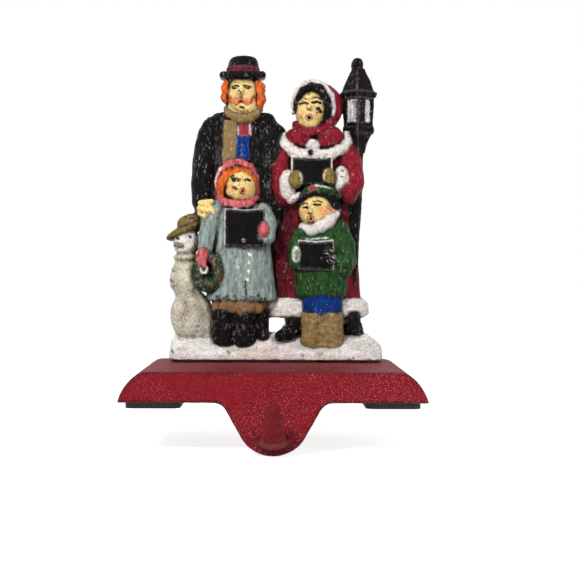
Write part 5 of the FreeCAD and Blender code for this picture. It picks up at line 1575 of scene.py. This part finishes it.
def store(mesh: bpy.types.Mesh, name: str, values: Array) -> None:
    """Keeps a value or a colour on each point of a mesh.

    Args:
        mesh: the mesh.
        name: the attribute's name.
        values: one number, or red, green and blue, for each point.
    """
    if values.ndim == 1:
        layer = mesh.attributes.new(name, "FLOAT", "POINT")
        layer.data.foreach_set("value", values.astype(np.float32))
        return
    layer = mesh.attributes.new(name, "FLOAT_COLOR", "POINT")
    whole = np.column_stack([values, np.ones(len(values))]).astype(np.float32)
    layer.data.foreach_set("color", whole.ravel())


def mesh_of(name: str, points: Array, faces: Array) -> bpy.types.Mesh:
    """Makes a smooth shaded mesh.

    Args:
        name: the mesh's name.
        points: its points in metres.
        faces: the corners of its faces.

    Returns:
        The new mesh.
    """
    mesh = bpy.data.meshes.new(name)
    mesh.from_pydata(points.tolist(), [], faces.tolist())
    mesh.update()
    mesh.shade_smooth()
    return mesh


def directions(mesh: bpy.types.Mesh) -> Array:
    """The outward direction at each point of a mesh."""
    normals = np.empty(len(mesh.vertices) * 3, dtype=np.float32)
    mesh.vertex_normals.foreach_get("vector", normals)
    return normals.reshape(-1, 3)


@dataclass(frozen=True)
class Patches:
    """A noise: bumps to a metre, layers, the span of its values and what that span becomes."""

    scale: float
    detail: float
    span: tuple[float, float]
    values: tuple[float, float]
    roughness: float = 0.55
    stretch: float = 1.0


class Shader:
    """A material's node tree, with short ways to add to it."""

    def __init__(self, name: str) -> None:
        """Starts a material with a principled surface."""
        self.material = bpy.data.materials.new(name)
        self.material.use_nodes = True
        self.tree = self.material.node_tree
        self.surface = self.tree.nodes["Principled BSDF"]

    def node(self, kind: str, **values) -> bpy.types.Node:
        """Adds a node and sets its properties."""
        made = self.tree.nodes.new(kind)
        for name, value in values.items():
            setattr(made, name, value)
        return made

    def link(self, source: Socket, target: Socket) -> None:
        """Joins two sockets."""
        self.tree.links.new(source, target)

    def attribute(self, name: str, output: str = "Fac") -> Socket:
        """A value kept on the mesh."""
        return self.node("ShaderNodeAttribute", attribute_name=name).outputs[output]

    def position(self) -> Socket:
        """The place on the object, in metres."""
        return self.node("ShaderNodeNewGeometry").outputs["Position"]

    def noise(self, scale: float, detail: float = 3.0, roughness: float = 0.55,
              stretch: float = 1.0) -> Socket:
        """A noise over the object's place.

        Args:
            scale: bumps to a metre.
            detail: layers of finer noise.
            roughness: strength of the finer layers.
            stretch: how much longer the bumps are upwards than across.

        Returns:
            The noise value.
        """
        made = self.node("ShaderNodeTexNoise")
        place = self.node("ShaderNodeVectorMath", operation="MULTIPLY")
        place.inputs[1].default_value = (1.0, 1.0, 1.0 / stretch)
        self.link(self.position(), place.inputs[0])
        self.link(place.outputs[0], made.inputs["Vector"])
        made.inputs["Scale"].default_value = scale
        made.inputs["Detail"].default_value = detail
        made.inputs["Roughness"].default_value = roughness
        return made.outputs[0]

    def spread(self, source: Socket, low: float, high: float, start: float,
               end: float) -> Socket:
        """Maps a value from one span to another, held at its ends.

        Args:
            source: the value.
            low: where the span starts.
            high: where it ends.
            start: result at its start.
            end: result at its end.

        Returns:
            The mapped value.
        """
        made = self.node("ShaderNodeMapRange")
        self.link(source, made.inputs["Value"])
        for name, value in (("From Min", low), ("From Max", high), ("To Min", start), ("To Max", end)):
            made.inputs[name].default_value = value
        return made.outputs[0]

    def math(self, operation: str, first: Value, second: Value) -> Socket:
        """Works on two values, each a socket or a number."""
        made = self.node("ShaderNodeMath", operation=operation)
        for place, value in enumerate((first, second)):
            if isinstance(value, (int, float)):
                made.inputs[place].default_value = value
            else:
                self.link(value, made.inputs[place])
        return made.outputs[0]

    def times(self, first: Value, second: Value) -> Socket:
        """Multiplies two values."""
        return self.math("MULTIPLY", first, second)

    def patches(self, look: Patches) -> Socket:
        """The values of a patchy noise."""
        noise = self.noise(look.scale, look.detail, look.roughness, look.stretch)
        return self.spread(noise, *look.span, *look.values)

    def grey(self, value: Socket) -> Socket:
        """A value as a grey."""
        made = self.node("ShaderNodeCombineColor")
        for socket in made.inputs[:3]:
            self.link(value, socket)
        return made.outputs[0]

    def mix(self, amount: Value, first: Tint, second: Tint, blend: str = "MIX") -> Socket:
        """Mixes two colours.

        Args:
            amount: a socket or a number from 0 to 1.
            first: a colour socket or linear colour.
            second: a colour socket or linear colour.
            blend: how the second goes on the first.

        Returns:
            The mixed colour.
        """
        made = self.node("ShaderNodeMix", data_type="RGBA", blend_type=blend)
        for place, value in ((0, amount), (6, first), (7, second)):
            socket = made.inputs[place]
            if isinstance(value, (int, float)):
                socket.default_value = value
            elif isinstance(value, tuple):
                socket.default_value = (*value, 1.0)
            else:
                self.link(value, socket)
        return made.outputs[2]

    def bump(self, height: Socket, depth: float,
             before: Optional[Socket] = None) -> Socket:
        """Raises the surface by a height value, depth in metres."""
        made = self.node("ShaderNodeBump")
        made.inputs["Strength"].default_value = 1.0
        made.inputs["Distance"].default_value = depth
        self.link(height, made.inputs["Height"])
        if before is not None:
            self.link(before, made.inputs["Normal"])
        return made.outputs[0]


@dataclass(frozen=True)
class FigurePaint:
    """Hand brushed enamel on a rough casting, with painted shade in hollows and painted highlights."""

    # Dark tone of the paint's pits, also used as the painted shade in hollows.
    wash: Point = rgb(26, 20, 18)
    stain: Point = rgb(214, 208, 170)
    blush: Point = rgb(226, 196, 198)
    # Pale grey laid on ridges and glints: painted highlight, on ridges partly rubbed wear.
    rubbed: Point = rgb(138, 132, 132)
    stained: Patches = Patches(34, 2, (0.52, 0.68), (0.0, 0.5))
    blushed: Patches = Patches(27, 2, (0.52, 0.68), (0.0, 0.5))
    strokes: Patches = Patches(680, 4, (0.34, 0.66), (0.42, 1.5), roughness=0.65, stretch=3.2)
    stipple: Patches = Patches(900, 4, (0.34, 0.66), (0.72, 1.14), roughness=0.65)
    blotches: Patches = Patches(210, 3, (0.3, 0.7), (0.86, 1.12))
    pits: Patches = Patches(1300, 2, (0.61, 0.69), (0.0, 1.0))
    pitted: Patches = Patches(190, 3, (0.42, 0.6), (0.15, 1.0))
    ridge_breaks: Patches = Patches(900, 2, (0.42, 0.58), (0.15, 1.0))
    glints: Patches = Patches(1000, 2, (0.595, 0.665), (0.0, 0.7), stretch=2.2)
    glinting: Patches = Patches(170, 2, (0.44, 0.58), (0.08, 1.0))
    uneven: Patches = Patches(700, 3, (0.3, 0.7), (-0.08, 0.1))
    specular: float = 0.04
    brush_depth: float = 0.0006
    lump_depth: float = 0.0005
    sand_depth: float = 0.00014

    def build(self) -> bpy.types.Material:
        """Makes the material."""
        shader = Shader("figure_paint")
        grit = shader.attribute("grit")
        white = shader.spread(grit, 0.75, 0.95, 0.0, 1.0)
        flat = shader.spread(grit, 0.32, 0.7, 0.0, 1.0)
        streaked = shader.math("SUBTRACT", 1.0, flat)
        colour = self.brushed(shader, white, flat, streaked)
        pits = shader.times(shader.patches(self.pits), shader.patches(self.pitted))
        colour = shader.mix(shader.times(pits, grit), colour, self.wash)
        colour = self.worn(shader, colour, grit, white)
        # Painted shade: the colour darkens toward the dark pit tone in hollows and creases, less on the gritty whites.
        hollow = shader.spread(shader.attribute("hollow"), 0.08, 0.62, 0.0, 0.95)
        softer = shader.spread(grit, 0.4, 1.0, 1.0, 0.62)
        colour = shader.mix(shader.times(hollow, softer), colour, self.wash)
        shader.link(colour, shader.surface.inputs["Base Color"])
        rough = shader.math("ADD", shader.attribute("rough"), shader.patches(self.uneven))
        shader.link(rough, shader.surface.inputs["Roughness"])
        shader.surface.inputs["Specular IOR Level"].default_value = self.specular
        brushed = shader.bump(shader.times(shader.noise(620, 3, stretch=3.5), streaked), self.brush_depth)
        coarse = shader.bump(shader.noise(1000, 3), self.lump_depth, brushed)
        fine = shader.bump(shader.noise(2600, 2), self.sand_depth, coarse)
        shader.link(fine, shader.surface.inputs["Normal"])
        return shader.material

    def brushed(self, shader: Shader, white: Socket, flat: Socket, streaked: Socket) -> Socket:
        """The paint as it was laid on.

        Args:
            shader: the material.
            white: how far this is one of the whites, which are stained.
            flat: how far the paint is stippled on.
            streaked: how far it is brushed on in streaks.

        Returns:
            The colour.
        """
        colour = shader.attribute("paint", "Color")
        for tint, where in ((self.stain, self.stained), (self.blush, self.blushed)):
            colour = shader.mix(shader.times(white, shader.patches(where)), colour, tint)
        laid = shader.math("ADD", shader.times(shader.patches(self.strokes), streaked),
                           shader.times(shader.patches(self.stipple), flat))
        tone = shader.grey(shader.times(laid, shader.patches(self.blotches)))
        return shader.mix(1.0, colour, tone, "MULTIPLY")

    def worn(self, shader: Shader, colour: Socket, grit: Socket, white: Socket) -> Socket:
        """Lighter ridges, partly rubbed wear and partly painted highlight, and painted glints.

        Args:
            shader: the material.
            colour: what the wear and painted highlights are laid over.
            grit: how gritty the paint is.
            white: how far this is one of the whites, which get neither.

        Returns:
            The colour.
        """
        # Painted highlights: ridges and scattered glint streaks lighten toward the pale grey; on ridges this is partly
        # rubbed wear.
        ridge = shader.times(shader.spread(shader.attribute("ridge"), 0.12, 0.36, 0.0, 0.42),
                             shader.patches(self.ridge_breaks))
        glints = shader.times(shader.patches(self.glints), shader.patches(self.glinting))
        glints = shader.times(glints, shader.spread(grit, 0.0, 0.3, 0.0, 1.0))
        coloured = shader.spread(white, 0.0, 1.0, 1.0, 0.0)
        rubbed = shader.times(shader.math("MAXIMUM", ridge, glints), coloured)
        return shader.mix(rubbed, colour, shader.mix(1.0, colour, self.rubbed, "ADD"))


@dataclass(frozen=True)
class RedPaint:
    """The base's sprayed crimson over sand cast iron, darker on top; painted shade and highlight specks."""

    red: Point = rgb(124, 15, 27)
    dust: Point = rgb(84, 26, 32)
    worn: Point = rgb(46, 18, 22)
    speck: Point = rgb(196, 108, 116)
    tones: Patches = Patches(300, 4, (0.3, 0.7), (0.84, 1.12))
    dusty: Patches = Patches(500, 4, (0.35, 0.6), (0.45, 1.0))
    edge_breaks: Patches = Patches(420, 3, (0.40, 0.58), (0.25, 1.0))
    zones: Patches = Patches(24, 2, (0.40, 0.60), (0.25, 1.0))
    specks: Patches = Patches(1500, 2, (0.54, 0.68), (0.0, 0.7))
    pits: Patches = Patches(1700, 2, (0.42, 0.30), (0.0, 0.6))
    sheen: Patches = Patches(600, 3, (0.3, 0.7), (0.40, 0.58))
    specular: float = 0.08
    sand_depth: float = 0.0007
    fine_depth: float = 0.00022

    def build(self) -> bpy.types.Material:
        """Makes the material."""
        shader = Shader("red_paint")
        colour = shader.mix(1.0, self.red, shader.grey(shader.patches(self.tones)), "MULTIPLY")
        geometry = shader.node("ShaderNodeNewGeometry")
        parts = shader.node("ShaderNodeSeparateXYZ")
        shader.link(geometry.outputs["Normal"], parts.inputs[0])
        # What faces up turns a darker, duller red.
        up = shader.spread(parts.outputs[2], 0.3, 0.95, 0.0, 0.5)
        colour = shader.mix(shader.times(up, shader.patches(self.dusty)), colour, self.dust)
        edge = shader.spread(shader.attribute("edge"), 0.085, 0.15, 0.0, 0.6)
        colour = shader.mix(shader.times(edge, shader.patches(self.edge_breaks)), colour, self.worn)
        # Painted shade in the hollows.
        shade = shader.spread(shader.attribute("hollow"), 0.25, 0.9, 0.0, 0.6)
        colour = shader.mix(shade, colour, self.worn)
        # Painted shade: the hook and the tongue about it darken and get fewer highlight specks.
        hook_shade = shader.attribute("hook_shade")
        colour = shader.mix(shader.times(hook_shade, 0.3), colour, self.worn)
        # Painted highlights: pale pink specks stand in for glints on the sandy paint, in patches and fewer by the
        # hook.
        zone = shader.times(shader.patches(self.zones), shader.spread(hook_shade, 0.0, 1.0, 1.0, 0.25))
        colour = shader.mix(shader.times(zone, shader.patches(self.specks)), colour, self.speck)
        colour = shader.mix(shader.times(zone, shader.patches(self.pits)), colour, self.worn)
        shader.link(colour, shader.surface.inputs["Base Color"])
        shader.link(shader.patches(self.sheen), shader.surface.inputs["Roughness"])
        shader.surface.inputs["Specular IOR Level"].default_value = self.specular
        sand = shader.bump(shader.noise(760, 3), self.sand_depth)
        fine = shader.bump(shader.noise(2000, 2), self.fine_depth, sand)
        shader.link(fine, shader.surface.inputs["Normal"])
        return shader.material


@dataclass(frozen=True)
class Plain:
    """A simple finish with a little noise, for rubber or steel."""

    name: str
    colour: Point
    roughness: float
    metallic: float = 0.0
    grain: float = 0.00006

    def build(self) -> bpy.types.Material:
        """Makes the material."""
        shader = Shader(self.name)
        tone = shader.patches(Patches(500, 3, (0.3, 0.7), (0.9, 1.08)))
        colour = shader.mix(1.0, self.colour, shader.grey(tone), "MULTIPLY")
        shader.link(colour, shader.surface.inputs["Base Color"])
        sheen = Patches(900, 2, (0.3, 0.7), (self.roughness - 0.05, self.roughness + 0.05))
        shader.link(shader.patches(sheen), shader.surface.inputs["Roughness"])
        shader.surface.inputs["Metallic"].default_value = self.metallic
        shader.link(shader.bump(shader.noise(1600, 2), self.grain), shader.surface.inputs["Normal"])
        return shader.material


@dataclass(frozen=True)
class Studio:
    """Pale floor, white surround, soft lights and the camera at the photo's place."""

    floor_height: float
    eye: Point = (0.0, -0.556, 0.0618)
    lens: float = 76.5
    right: float = 0.76
    down: float = 0.84
    roll: float = 0.25
    floor_glow: float = 0.8
    sky: float = 0.34

    def floor(self) -> None:
        """A plain pale floor under the object."""
        shader = Shader("floor")
        shader.surface.inputs["Base Color"].default_value = (0.9, 0.9, 0.9, 1.0)
        shader.surface.inputs["Roughness"].default_value = 0.9
        shader.surface.inputs["Specular IOR Level"].default_value = 0.0
        path = shader.node("ShaderNodeLightPath").outputs
        seen = shader.math("MAXIMUM", shader.math("MAXIMUM", path["Is Camera Ray"], path["Is Glossy Ray"]),
                           path["Is Transmission Ray"])
        shader.surface.inputs["Emission Color"].default_value = (1.0, 1.0, 1.0, 1.0)
        shader.link(shader.times(seen, self.floor_glow), shader.surface.inputs["Emission Strength"])
        bpy.ops.mesh.primitive_plane_add(size=6.0, location=(0, 0, self.floor_height))
        plane = bpy.context.object
        plane.name = "floor"
        plane.data.materials.append(shader.material)
        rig.stage(plane)

    def surround(self) -> None:
        """A white surround, brighter to the camera than to the object."""
        world = bpy.data.worlds.new("surround")
        bpy.context.scene.world = world
        world.use_nodes = True
        nodes, links = world.node_tree.nodes, world.node_tree.links
        nodes["Background"].inputs["Color"].default_value = (1.0, 1.0, 1.0, 1.0)
        nodes["Background"].inputs["Strength"].default_value = self.sky
        seen = nodes.new("ShaderNodeBackground")
        seen.inputs["Color"].default_value = (1.0, 1.0, 1.0, 1.0)
        seen.inputs["Strength"].default_value = 1.0
        path = nodes.new("ShaderNodeLightPath")
        mix = nodes.new("ShaderNodeMixShader")
        shown = path.outputs["Is Camera Ray"]
        for ray in ("Is Glossy Ray", "Is Transmission Ray"):
            either = nodes.new("ShaderNodeMath")
            either.operation = "MAXIMUM"
            links.new(shown, either.inputs[0])
            links.new(path.outputs[ray], either.inputs[1])
            shown = either.outputs[0]
        links.new(shown, mix.inputs[0])
        links.new(nodes["Background"].outputs[0], mix.inputs[1])
        links.new(seen.outputs[0], mix.inputs[2])
        links.new(mix.outputs[0], nodes["World Output"].inputs["Surface"])

    def lamp(self, name: str, place: Point, size: float, power: float) -> None:
        """An area light aimed at the group.

        Args:
            name: the light's name.
            place: where it stands.
            size: its edge in metres.
            power: in watts.
        """
        light = bpy.data.lights.new(name, "AREA")
        light.size = size
        light.energy = power
        holder = bpy.data.objects.new(name, light)
        holder.location = place
        aim = Vector((0.0, 0.04, 0.08)) - Vector(place)
        holder.rotation_euler = aim.to_track_quat("-Z", "Y").to_euler()
        bpy.context.scene.collection.objects.link(holder)

    def camera(self) -> None:
        """The camera at the photo's place."""
        data = bpy.data.cameras.new("camera")
        data.lens = self.lens
        data.sensor_width = 36.0
        data.clip_start = 0.01
        holder = bpy.data.objects.new("camera", data)
        holder.location = self.eye
        aim = Vector((math.sin(math.radians(self.right)), math.cos(math.radians(self.right)),
                      -math.sin(math.radians(self.down))))
        holder.rotation_mode = "QUATERNION"
        level = aim.to_track_quat("-Z", "Y")
        holder.rotation_quaternion = level @ Quaternion((0, 0, 1), math.radians(self.roll))
        bpy.context.scene.collection.objects.link(holder)
        bpy.context.scene.camera = holder

    def build(self) -> None:
        """Sets up the studio."""
        self.floor()
        self.surround()
        self.lamp("key", (-0.40, -0.75, 0.70), 0.22, 9.5)
        self.lamp("fill", (0.7, -0.7, 0.35), 0.7, 2.6)
        self.camera()


def note_size(key: str) -> None:
    path = "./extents.json"
    low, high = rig.bounds()
    SIZES_SEEN[key] = [list(map(float, low)), list(map(float, high))]
    with open(path, "w", encoding="utf-8") as out:
        json.dump(SIZES_SEEN, out)


SIZES_SEEN: dict[str, list[list[float]]] = {}


def main() -> None:
    """Builds the scene in order."""
    logging.basicConfig(level=logging.INFO, format="%(message)s")
    note_size("cad")
    low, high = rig.box("carolers_casting")
    finish = FigurePaint().build()
    for piece in Group(back=high[1], underside=low[2]).build(finish):
        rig.ride(piece, "root")
        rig.replaces(piece, "carolers_casting")
        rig.slot(piece, "figure_paint")
    base = Base().build(RedPaint().build())
    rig.ride(base, "root")
    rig.replaces(base, "base_casting")
    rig.slot(base, "red_paint")
    finishes = {
        "pad_left": Plain("pad_rubber", rgb(26, 26, 27), 0.75).build(),
        "screw_left": Plain("screw_steel", rgb(150, 150, 152), 0.35, metallic=1.0).build(),
    }
    finishes["pad_right"] = finishes["pad_left"]
    finishes["screw_right"] = finishes["screw_left"]
    for name, material in finishes.items():
        node = frame["nodes"][name]
        node.data.materials.clear()
        node.data.materials.append(material)
    base_low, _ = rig.box("base_casting")
    Studio(floor_height=base_low[2]).build()
    bpy.context.scene.view_settings.view_transform = "Standard"
    note_size("visual")


if __name__ == "__main__":
    main()
